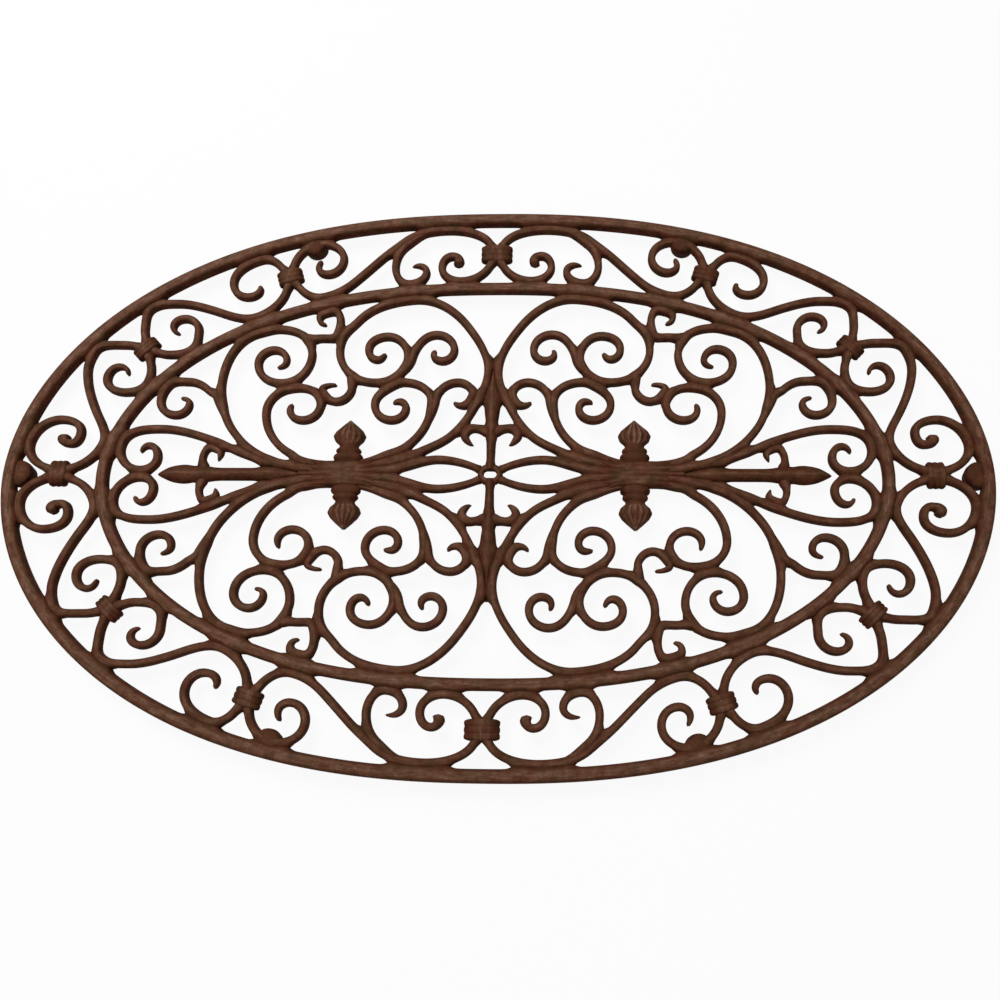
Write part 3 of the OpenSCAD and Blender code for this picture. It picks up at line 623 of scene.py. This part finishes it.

# %% [markdown]
# ## Rusted cast iron
# The finish is the sand-cast skin under brown rust: a mottle of red-brown and olive-brown with a grain
# like fine sand. The crests show the wear of shoes, paler and smoother in streaks along the bars. Painted
# light lies over that: paler tops, painted highlights on the crests, and painted shade in the angles and
# on the lower sides. An image could hold this, but sums of noises fit every bar. To write the sums
# plainly, a small class lets us add and multiply sockets as if they were numbers.

# %% Shader sums


class Wire:
    """A shader socket that can be used in sums: each operator adds one Math node."""

    def __init__(self, tree, socket=None):
        self.tree, self.socket = tree, socket

    def node(self, kind, settings=None, sockets=None, out=0):
        """Any node: its settings are set first, then the values or links of its sockets."""
        made = self.tree.nodes.new(kind)
        for key, value in (settings or {}).items():
            setattr(made, key, value)
        for key, value in (sockets or {}).items():
            if isinstance(value, Wire):
                self.tree.links.new(value.socket, made.inputs[key])
            else:
                made.inputs[key].default_value = value
        return Wire(self.tree, made.outputs[out]) if made.outputs else None

    def math(self, operation, a, b):
        """One Math node on two sockets or numbers."""
        return self.node("ShaderNodeMath", {"operation": operation}, {0: a, 1: b})

    def __add__(self, other):
        return self.math("ADD", self, other)

    def __sub__(self, other):
        return self.math("SUBTRACT", self, other)

    def __mul__(self, other):
        return self.math("MULTIPLY", self, other)

    __radd__, __rmul__ = __add__, __mul__


def cleared(owner):
    """A wire that adds nodes to a material or a sky, whose own nodes are removed."""
    owner.use_nodes = True
    owner.node_tree.nodes.clear()
    return Wire(owner.node_tree)


def tone(r, g, b):
    """A colour given in screen values from 0 to 255, as the linear values that a shader wants."""
    c = np.array([r, g, b]) / 255
    return (*np.where(c <= 0.04045, c / 12.92, ((c + 0.055) / 1.055) ** 2.4).tolist(), 1.0)


print("rust tone:", np.round(tone(92, 56, 40), 3))

# %% [markdown]
# The noises come in four sizes, from clouds of some centimetres down to single grains, on the Object
# coordinates, so that they lie still on the metal. The streaks read how far along and across its bar a
# point lies, which every mesh carries on its points, as it does the crest and fillet numbers.

# %% Patterns of the rust
iron = bpy.data.materials.new("rusted_cast_iron")
pen = cleared(iron)
place = pen.node("ShaderNodeTexCoord", out="Object")
# Turns of the streaks in a metre of bar, and in one round of its profile
STREAK_ALONG, STREAK_ACROSS = 75, 13


def noise(vector, scale, detail, rough):
    """Fractal noise over a place, at so many turns a unit."""
    return pen.node("ShaderNodeTexNoise", None,
                    {"Vector": vector, "Scale": scale, "Detail": detail, "Roughness": rough})


def between(value, low, high):
    """Runs from 0 at low to 1 at high, eased at both ends."""
    return pen.node("ShaderNodeMapRange", {"interpolation_type": "SMOOTHSTEP"},
                    {"Value": value, "From Min": low, "From Max": high})


def carried(name):
    """A number that the mesh carries on its points."""
    return pen.node("ShaderNodeAttribute", {"attribute_name": name}, out="Fac")


crest, deep = carried("crest"), carried("fillet")
drawn = pen.node("ShaderNodeCombineXYZ", None,
                 {"X": carried("along") * STREAK_ALONG, "Y": carried("across") * STREAK_ACROSS})
streak = noise(drawn, 1.0, 4.0, 0.65)
tint, mottle = noise(place, 70, 3.0, 0.55), noise(place, 170, 5.0, 0.62)
sand, grit = noise(place, 520, 4.0, 0.65), noise(place, 1700, 2.0, 0.6)
# Wear on the crests, which also paints a highlight on them
wear_and_highlight = between(crest * 0.7 + streak * 0.38 + mottle * 0.3, 0.93, 1.33)
# Painted highlight on the highest crests, with wear to the metal there as well
highlight_and_rub = between(crest * 0.7 + streak * 0.38 + sand * 0.4, 1.11, 1.36)
# Painted shade: darker in the fillets between bars and lower on their sides
painted_shade = between(deep * 0.8 + mottle * 0.35 - crest * 0.35, 0.28, 0.75)
pits = between(sand, 0.62, 0.74)
print("pattern nodes:", len(iron.node_tree.nodes))

# %% [markdown]
# The colour is laid on in coats, each with a mask that says where it lies and how much of it shows. The
# skin is a bump of the same noises, so that a dark pit is also a hollow.

# %% Rust and skin
# The Mix node's colour sockets by number, because its other kinds have sockets of the same names
COLOUR_A, COLOUR_B, COLOUR_OUT = 6, 7, 2


def blend(mask, a, b):
    """Colour a where the mask is 0 and b where it is 1."""
    return pen.node("ShaderNodeMix", {"data_type": "RGBA"},
                    {"Factor": mask, COLOUR_A: a, COLOUR_B: b}, COLOUR_OUT)


rust = blend(between(mottle, 0.36, 0.6), tone(50, 20, 9), tone(84, 40, 21))
coats = (
    # Painted light: a paler brown towards the crest, the lit tops of the bars against shaded sides
    (between(crest + mottle * 0.9, 0.75, 1.45) * 0.85, tone(86, 50, 29)),
    # Clouds of olive and of red
    (between(tint, 0.5, 0.62) * 0.55, tone(66, 45, 21)),
    (between(tint, 0.48, 0.38) * 0.45, tone(84, 36, 23)),
    # Bright grains of fresh rust
    (between(mottle * 0.5 + sand * 0.6, 0.58, 0.72) * 0.4, tone(104, 54, 30)),
    # Wear on the crests, some almost to the metal, which also paints highlights there
    (wear_and_highlight * 0.85, tone(142, 104, 82)),
    (highlight_and_rub * 0.6, tone(172, 140, 124)),
    # Painted shade in the angles and on the lower sides, and dark pits
    (painted_shade * 0.7, tone(28, 12, 6)),
    (pits * 0.6, tone(32, 14, 8)))
for mask, colour in coats:
    rust = blend(mask, rust, colour)
height = sand * 0.45 + grit * 0.2 + mottle * 0.7 + streak * 0.1 - pits * 0.3
skin = pen.node("ShaderNodeBump", None, {"Strength": 0.55, "Distance": 0.0006, "Height": height})
rough = 0.86 + sand * 0.16 - crest * 0.26 - wear_and_highlight * 0.16
shader = pen.node("ShaderNodeBsdfPrincipled", None, {
    "Base Color": rust, "Roughness": rough, "Normal": skin, "Metallic": 0.0, "Specular IOR Level": 0.12})
pen.node("ShaderNodeOutputMaterial", None, {"Surface": shader})
print("finish nodes:", len(iron.node_tree.nodes))

# %% [markdown]
# ## Grids into meshes
# A grid of points becomes quads between its rows. A bar's ends are closed with one face each, a ring's
# last row is joined to its first. A Mirror modifier could make the other quarters, but they are pieces of
# their own, so we mirror the points, and reverse the faces that this turns inside out.

# %% Mesh helper
# Edges sharper than this many degrees stay hard
HARD_EDGE = 50
# Each copy, and each quarter, starts at another place of the streaks, in metres
COPY_START, QUARTER_START = 0.37, np.array([0.11, 0.05])


def quads(n, m, closed):
    """Faces of an n by m grid that is closed round each row, and from the last row to the first if asked."""
    i, j = np.meshgrid(np.arange(n if closed else n - 1), np.arange(m), indexing="ij")
    next_i, next_j = (i + 1) % n, (j + 1) % m
    return np.stack([i * m + j, i * m + next_j, next_i * m + next_j, next_i * m + j], -1).reshape(-1, 4)


def piece(node, parts, closed=False):
    """One object from several (grid, crest, fillet, mirror) parts, standing for the CAD node of that name.
    Points carry their crest and fillet numbers, the way along the part's middle and the place across it."""
    points, faces, base = [], [], 0
    numbers = {"crest": [], "fillet": [], "along": [], "across": []}
    for k, (grid, high, low, flip) in enumerate(parts):
        n, m = grid.shape[:2]
        row = np.arange(m)
        sides = quads(n, m, closed) + base
        caps = [] if closed else [row[::-1] + base, row + base + (n - 1) * m]
        if flip[0] * flip[1] < 0:
            sides, caps = sides[:, ::-1], [cap[::-1] for cap in caps]
        points.append(grid.reshape(-1, 3) * [*flip, 1])
        faces += sides.tolist() + [cap.tolist() for cap in caps]
        start = COPY_START * k + QUARTER_START @ flip
        numbers["crest"].append(np.ravel(high))
        numbers["fillet"].append(np.ravel(low))
        numbers["along"].append(np.repeat(way_along(grid.mean(1)) * MM + start, m))
        numbers["across"].append(np.tile(np.minimum(row, m - row) / m, n))
        base += n * m
    mesh = bpy.data.meshes.new(node + "_iron")
    mesh.from_pydata((np.vstack(points) * MM).tolist(), [], faces)
    for key, values in numbers.items():
        attribute = mesh.attributes.new(key, "FLOAT", "POINT")
        attribute.data.foreach_set("value", np.concatenate(values).astype("f"))
    mesh.polygons.foreach_set("use_smooth", np.ones(len(mesh.polygons), bool))
    mesh.set_sharp_from_angle(angle=np.radians(HARD_EDGE))
    mesh.update()
    obj = bpy.data.objects.new(node + "_iron", mesh)
    bpy.context.scene.collection.objects.link(obj)
    obj.data.materials.append(iron)
    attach(obj, "root")
    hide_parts(node)
    return obj


def copies(kind, part, turns):
    """One object for each turn of a part, named for it."""
    return [piece(f"{kind}_{turn}", [(*part, flip)]) for turn, flip in turns.items()]


print("faces of a grid of 3 by 4 points:", len(quads(3, 4, False)))

# %% [markdown]
# ## Rings
# The two rings carry everything. A torus could be stretched to an oval, but its section would be stretched
# with it, so they are the same half-round bar, closed on itself. They stand a little higher than the
# scrolls, and their crests get more wear and more painted light.

# %% Make the rings
# Ring crests get this much more wear and painted light than a bar's
RING_WEAR_AND_LIGHT = 1.06
made = []
for i, (kind, line) in enumerate(loops.items()):
    if kind != "eye":
        grid, high, low = sweep(kind, line, FIRST_LOOP + i, True)
        made.append(piece(kind, [(grid, RING_WEAR_AND_LIGHT * high, low, (1, 1))], True))
print("rings:", [len(o.data.polygons) for o in made])

# %% [markdown]
# ## Scrolls
# A scroll that the CAD model names for each quarter becomes four objects, and the small curls, links and
# hooks become one object of four. Linked copies with a negative scale could repeat a scroll, but a
# piece's place belongs in its own mesh, so the surface is worked out once and its points are mirrored.

# %% Make the scrolls
PER_QUARTER = ("border_long", "border_shoulder", "border_end",
               "crown", "inner_lobe", "outer_lobe", "side", "tail")
EAST_WEST = {"e": (1, 1), "w": (-1, 1)}
for i, (kind, line) in enumerate(traced.items()):
    part = sweep(kind, line, i)
    if kind in PER_QUARTER:
        made += copies(kind, part, QUARTERS)
    elif kind == "spear":
        made += copies(kind, part, EAST_WEST)
    else:
        made.append(piece(kind, [(*part, QUARTERS[q]) for q in ON_AXIS.get(kind, QUARTERS)]))
eye = sweep("eye", loops["eye"], FIRST_LOOP + list(loops).index("eye"), True)
made.append(piece("eye", [(*eye, (1, 1))], True))
print("bars:", len(made), "pieces,", sum(len(o.data.polygons) for o in made), "faces")

# %% [markdown]
# ## Hubs
# In each hub eleven bars are drawn together, six on the inner side and five on the outer. At its ends they
# show as ridges, and towards the waist they melt into one another. Eleven touching bars would leave
# cracks, so the hub is one surface whose height ripples across it, with a band where the finials stand.

# %% Domes
# Share of a dome's width that is flat below, share of its height where wear and painted light start, and
# their amount at the top
DOME_FLAT, WEAR_AND_LIGHT_FROM, DOME_WEAR_AND_LIGHT = 0.95, 0.55, 0.9


def ease(x, a, b):
    """0 at a, 1 at b, a smooth step between them and level beyond."""
    u = np.clip((x - a) / (b - a), 0, 1)
    return (3 - 2 * u) * u * u


def across(n):
    """n places across a row, from 1 to -1, closer together at the edges: the cosine of half a turn."""
    return np.cos(np.linspace(0, np.pi, n))


def domed(x, half, tall, ridges, lean):
    """Rows of a flat-bottomed dome: across each row v runs from 1 to -1, the height is a power dome
    (1 - |v|^lean)^0.5 on a shoulder, times the ridges' factor, and the underside closes the row."""
    v = across(ridges.shape[1])
    dome = SHOULDER + (1 - SHOULDER) * np.sqrt(1 - np.abs(v) ** lean)
    under = np.array([-1, -DOME_FLAT, DOME_FLAT, 1])
    lift = np.broadcast_to([CORNER_H, 0, 0, CORNER_H], (len(x), 4))
    wide = half[:, None] * np.r_[v, under]
    z = tall[:, None] * np.hstack([dome * ridges, lift])
    grid = np.stack([np.broadcast_to(x[:, None], wide.shape), wide, FOOT_H + z], -1)
    high = np.clip((z / tall[:, None] - WEAR_AND_LIGHT_FROM) / (1 - WEAR_AND_LIGHT_FROM), 0, 1)
    return grid, DOME_WEAR_AND_LIGHT * high, np.zeros(wide.shape)


print("smooth step at a quarter:", ease(0.25, 0, 1))

# %% Make the hubs
# Half width of the waist, half length of its band, height and how much lower and narrower the ends are
WAIST, BAND, HUB_H, HUB_FALL = 10.0, 10.0, 7.5, 0.8
# Half widths of the two ends, and from where the hub widens towards them
HUB_IN_W, HUB_OUT_W, WIDEN_IN, WIDEN_OUT = 3 * LAP, 2.4 * LAP, HUB_MID - 10, HUB_MID + 16
# From where its ripples deepen, and between which places six of them turn into five
RIPPLE_IN, RIPPLE_OUT, SWAP_IN, SWAP_OUT = HUB_MID - 8, HUB_MID + 12, HUB_MID - 8, HUB_MID + 8
# Ripples in the waist, how much deeper they are at the ends, the band's height, wear and painted light, and
# the dome's power
WAIST_RIPPLE, END_RIPPLE, BAND_H, HUB_WEAR_AND_LIGHT, HUB_DOME = 0.03, 0.2, 0.05, 1.1, 6


def hub(rows=84, places=61):
    """Rows along a hub: the half width eases from the waist to each end, and the height ripples across as a
    cosine with one crest for each strand, six on the inner side and five on the outer."""
    x, v = np.linspace(HUB_IN - 1, HUB_OUT + 1, rows), across(places)[None, :]
    inner, outer = ease(x, WIDEN_IN, HUB_IN), ease(x, WIDEN_OUT, HUB_OUT)
    half = WAIST + (HUB_IN_W - WAIST) * inner + (HUB_OUT_W - WAIST) * outer
    swap = ease(x, SWAP_IN, SWAP_OUT)[:, None]
    wave = (1 - swap) * np.cos(6 * np.pi * v) - swap * np.cos(5 * np.pi * v)
    ends = ease(x, RIPPLE_IN, HUB_IN) + ease(x, RIPPLE_OUT, HUB_OUT)
    depth = WAIST_RIPPLE + END_RIPPLE * ends[:, None]
    band = BAND_H * np.exp(-((x - HUB_MID) / BAND) ** 4)[:, None]
    ridges = 1 - depth * (0.5 + 0.5 * wave) + band
    grid, high, low = domed(x, half - HUB_FALL * ends, HUB_H - HUB_FALL * ends, ridges, HUB_DOME)
    return grid, HUB_WEAR_AND_LIGHT * high, low


made += copies("hub", hub(), EAST_WEST)
print("hub faces:", len(made[-1].data.polygons))

# %% [markdown]
# ## Finials
# On each side of a hub stands a finial: a neck with turned rings and a ribbed head like a closed bud. Spin
# could turn it, but it is flattened and has a flat back. So its width and height follow one profile along
# its length, and the ribs are ripples across the head. The neck lies lower, so it gets less wear, and the
# head gets more painted light, as if lit from above.

# %% Make the finials
NECK, HEAD, FINIAL_W, FINIAL_H, FINIAL_ROOT = 11.0, 19.5, 24.0, 9.0, -4.0
# Shares of the length of the neck or the head, and of the width
NECK_WIDTHS = [(0, 0.84), (0.2, 0.9), (0.38, 0.84), (0.48, 0.66), (0.58, 0.76), (0.74, 0.76), (0.92, 0.56)]
HEAD_WIDTHS = [(0.05, 0.6), (0.2, 0.88), (0.4, 1), (0.6, 0.82), (0.82, 0.44), (1, 0.08)]
# Ribs across the head, their depth, the share of height at the root, and the dome's power
RIBS, RIB_DEPTH, ROOT_H, FINIAL_DOME = 2.7, 0.17, 0.72, 2.4
# Where the root is at full height, lengths over which ribs and the wear and painted light rise, and the
# share where ribs fall
ROOT_END, RIB_RISE, WEAR_AND_LIGHT_RISE, RIB_FALL = 2, 4, 3, 0.8
# Wear and painted light at the foot of the dome and how much more there is at its crest
NECK_WEAR_AND_LIGHT, HEAD_WEAR_AND_LIGHT = (0.15, 0.8), (0.77, 0.38)


def finial(rows=120, places=49):
    """Rows along a finial: the width runs from stop to stop and is evened out, the height follows half of
    it, and a cosine ripples the head; the rows are then set at the hub's side."""
    y = np.linspace(FINIAL_ROOT, NECK + HEAD, rows)
    stops = np.vstack([np.array(NECK_WIDTHS) * [NECK, 1], np.array(HEAD_WIDTHS) * [HEAD, 1] + [NECK, 0]])
    wide = even(np.interp(y, *stops.T), np.ones(5) / 5, mode="edge")
    tall = FINIAL_H * (0.5 + 0.5 * wide) * (ROOT_H + (1 - ROOT_H) * ease(y, FINIAL_ROOT, ROOT_END))
    fade = ease(y, NECK, NECK + RIB_RISE) * (1 - ease(y, NECK + RIB_FALL * HEAD, NECK + HEAD))
    ripple = 0.5 - 0.5 * np.cos(2 * np.pi * RIBS * across(places))
    ridges = 1 - RIB_DEPTH * fade[:, None] * ripple
    grid, high, low = domed(y, wide * FINIAL_W / 2, tall, ridges, FINIAL_DOME)
    stood = np.stack([HUB_MID - grid[..., 1], WAIST + FIT + grid[..., 0], grid[..., 2]], -1)
    head = ease(y, NECK, NECK + WEAR_AND_LIGHT_RISE)[:, None]
    neck_wear_and_light, head_wear_and_light = (least + more * high for least, more in (NECK_WEAR_AND_LIGHT, HEAD_WEAR_AND_LIGHT))
    return stood, (1 - head) * neck_wear_and_light + head * head_wear_and_light, low


made += copies("finial", finial(), QUARTERS)
print("finial faces:", len(made[-1].data.polygons))

# %% [markdown]
# ## Collars
# Where two scrolls run side by side a collar binds them. On wrought work it would be a hot strip wrapped
# round; here it was carved on the pattern as a block with three beads, and shoes have worn it down. Three
# rings round a box would look new, so one rounded block swells a little at the beads.

# %% Make the collars
# For each kind: the quarters that have one, its length, half width over the bars and thickness of wall
COLLARS = {"long": (("ne", "se"), 14.0, 7.56, 3.7), "shoulder": (QUARTERS, 12.0, 7.15, 1.9),
           "corner": (QUARTERS, 9.5, 7.3, 1.9), "end": (("ne", "nw"), 12.5, 6.69, 2.1)}
# Places of the beads and their half length, as shares of the length, and how far they stand out
BEADS, BEAD_L, BEAD_SIDE, BEAD_TOP = [-0.32, 0, 0.32], 0.165, 0.8, 0.6
# Where the ends start to fall and how long they are, as shares of the length
END_FROM, END_L = 0.38, 0.125
# Height of the sides and of the wall above them, the waves of the uneven top, and the dome's power
COLLAR_H, CROWN_H, UNEVEN, WAVES, COLLAR_DOME = BAR_H - 0.4, 1.2, 0.2, 7, 2.8
# Wear and painted light on the collar's top, and painted shade on its lower sides away from the beads
COLLAR_WEAR_AND_LIGHT, COLLAR_SHADE = 1.13, 0.7


def collar(kind, phase, rows=57, places=41):
    """A block with the wear of shoes: three round beads swell from its sides and, less, from its top, and
    both ends fall to the bars in a quarter circle; the rows then turn to the collar's heading."""
    length, slot, wall = COLLARS[kind][1:]
    s = np.linspace(-0.5, 0.5, rows)
    end = np.sqrt(1 - np.clip((np.abs(s) - END_FROM) / END_L, 0, 1) ** 2)
    bead = np.sqrt(np.clip(1 - ((s[:, None] - BEADS) / BEAD_L) ** 2, 0, 1)).max(1) * end
    half = slot + wall * end + BEAD_SIDE * bead
    tall = COLLAR_H + CROWN_H * end + BEAD_TOP * bead + UNEVEN * np.cos(WAVES * s + phase)
    grid, high, low = domed(s * length, half, tall, np.ones((rows, places)), COLLAR_DOME)
    n = collar_node(kind)
    flat = n[:2] + grid[..., :1] * unit(n[2]) + grid[..., 1:2] * unit(n[2] + 90)
    # Painted shade on the lower sides, away from the beads
    collar_low_shade = low + COLLAR_SHADE * (1 - high) * (1 - bead)[:, None]
    return np.concatenate([flat, grid[..., 2:]], -1), COLLAR_WEAR_AND_LIGHT * high, collar_low_shade


for k, kind in enumerate(COLLARS):
    made.append(piece(f"collars_{kind}", [(*collar(kind, k), QUARTERS[q]) for q in COLLARS[kind][0]]))
print("collar faces:", len(made[-1].data.polygons))

# %% [markdown]
# ## Feet
# Six short round feet are cast under the outer ring, and they go on upwards as bosses about as high as the
# bars. Spin could make them, but a profile of radius and height carried round an axis keeps to our one
# kind of grid.

# %% Make the feet
# Radius, the angle of the four feet near the shoulders, the heights between which wear and painted light
# grow, and painted shade below them
FOOT_R, FOOT_T, WEAR_AND_LIGHT_LOW, WEAR_AND_LIGHT_HIGH, FOOT_SHADE = 9.8, 69.4, 11, 15, 0.3
# Radius and height, from the middle of the sole to the middle of the boss
RIM = np.array([
    (0.2, 0), (7.6, 0), (8.15, 0.15), (8.45, 0.6), (9, 4), (9.6, 7.2), (FOOT_R, 8.5), (FOOT_R, 12.2),
    (9.5, 13.2), (8.8, 14), (7.6, 14.6), (5, 15), (0.2, 15.2)])


def foot(t, flip, steps=48):
    """A revolve, radius times (cos a, sin a), whose outer edge is flush with the ring's."""
    c, s = unit(np.linspace(0, 360, steps, endpoint=False))
    x, y = touch(OUTER, t, OUTER_W / 2 - FOOT_R, 1)[:2]
    r, z = RIM[:, :1], RIM[:, 1:] + 0 * c
    high = DOME_WEAR_AND_LIGHT * np.clip((z - WEAR_AND_LIGHT_LOW) / (WEAR_AND_LIGHT_HIGH - WEAR_AND_LIGHT_LOW), 0, 1)
    # Painted shade on the lower side of each foot
    return np.stack([x + r * c, y + r * s, z], -1), high, FOOT_SHADE * (1 - high), flip


feet = [foot(FOOT_T, flip) for flip in QUARTERS.values()] + [foot(0, flip) for flip in EAST_WEST.values()]
made.append(piece("feet", feet))
print("all pieces:", len(made), "faces:", sum(len(o.data.polygons) for o in made))

# %% [markdown]
# ## Floor, light and camera
# The photograph is a cut-out on white. A pale floor with its white partly given to camera rays keeps the
# ground white and still shows a soft shadow. A large lamp overhead, a weaker one from the front and a
# white sky light the iron at a plain level, so that its colour renders as written.

# %% Floor
# Half size of the floor in metres, its tone, and the share of plain white that camera and glossy rays see
FLOOR, PALE, PLAIN_WHITE = 6, 0.92, 0.93
scene = bpy.context.scene
scene.view_settings.view_transform = "Standard"
ground = bpy.data.meshes.new("floor")
corners = [(-FLOOR, -FLOOR, 0), (FLOOR, -FLOOR, 0), (FLOOR, FLOOR, 0), (-FLOOR, FLOOR, 0)]
ground.from_pydata(corners, [], [(0, 1, 2, 3)])
floor = bpy.data.objects.new("floor", ground)
scene.collection.objects.link(floor)
paper = bpy.data.materials.new("white_paper")
sheet = cleared(paper)
seen = sheet.node("ShaderNodeLightPath", out="Is Camera Ray")
glint = sheet.node("ShaderNodeLightPath", out="Is Glossy Ray")
matt = sheet.node("ShaderNodeBsdfDiffuse", None, {"Color": (PALE, PALE, PALE, 1)})
white = sheet.node("ShaderNodeEmission", None, {"Color": (1, 1, 1, 1), "Strength": 1.0})
mixed = sheet.node("ShaderNodeMixShader", None, {0: (seen + glint) * PLAIN_WHITE, 1: matt, 2: white})
sheet.node("ShaderNodeOutputMaterial", None, {"Surface": mixed})
floor.data.materials.append(paper)
print("floor nodes:", len(paper.node_tree.nodes))

# %% Light
# The sky lights the iron at this level, and a camera sees it white
SKY_LEVEL = 0.25
sky = bpy.data.worlds.new("white_sky")
air = cleared(sky)
level = SKY_LEVEL + (1 - SKY_LEVEL) * air.node("ShaderNodeLightPath", out="Is Camera Ray")
glow = air.node("ShaderNodeBackground", None, {"Color": (1, 1, 1, 1), "Strength": level})
air.node("ShaderNodeOutputWorld", None, {"Surface": glow})
scene.world = sky


def lamp(name, size, power, at):
    """A square area lamp at a point, turned to face the middle of the mat."""
    data = bpy.data.lights.new(name, "AREA")
    data.size, data.energy = size, power
    obj = bpy.data.objects.new(name, data)
    scene.collection.objects.link(obj)
    obj.location = at
    obj.rotation_euler = (-Vector(at)).to_track_quat("-Z", "Y").to_euler()


lamp("overhead", 0.9, 18.5, (-0.55, 0.75, 1.3))
lamp("front", 1.0, 2.4, (0.5, -1.3, 0.9))

# %% [markdown]
# The camera stands close above the near long side and a little to the right, tilted so that the mat runs
# slightly downhill to the right. A Track To constraint could aim it but not roll it, so its axes are
# worked out from where it stands, where it looks and its roll.

# %% Camera
# Degrees round the mat, above the floor and of roll; millimetres to the aim; focal length over the sensor
AROUND, ABOVE, ROLL, DISTANCE, FOCAL = 7.18, 71.6, -6.73, 738.1, 1.0208
AIM, SENSOR, SHIFT = np.array([39.4, 14.7, 11.5]), 36, -0.045
ahead = -np.array([unit(AROUND)[1] * unit(ABOVE)[0], -unit(AROUND)[0] * unit(ABOVE)[0], unit(ABOVE)[1]])
right = np.cross(ahead, [0, 0, 1])
right /= np.linalg.norm(right)
up = np.cross(right, ahead)
c, s = unit(ROLL)
right, up = c * right + s * up, c * up - s * right
stand = (AIM - DISTANCE * ahead) * MM
data = bpy.data.cameras.new("photo_view")
data.sensor_fit, data.sensor_width = "HORIZONTAL", SENSOR
data.lens = FOCAL * SENSOR
data.shift_x, data.shift_y = SHIFT, SHIFT
data.clip_start = 0.01
camera = bpy.data.objects.new("photo_view", data)
scene.collection.objects.link(camera)
axes = np.eye(4)
axes[:3] = np.stack([right, up, -ahead, stand], 1)
camera.matrix_world = Matrix(axes.tolist())
scene.camera = camera
print("camera at", np.round(stand, 3), "lens", round(data.lens, 1))
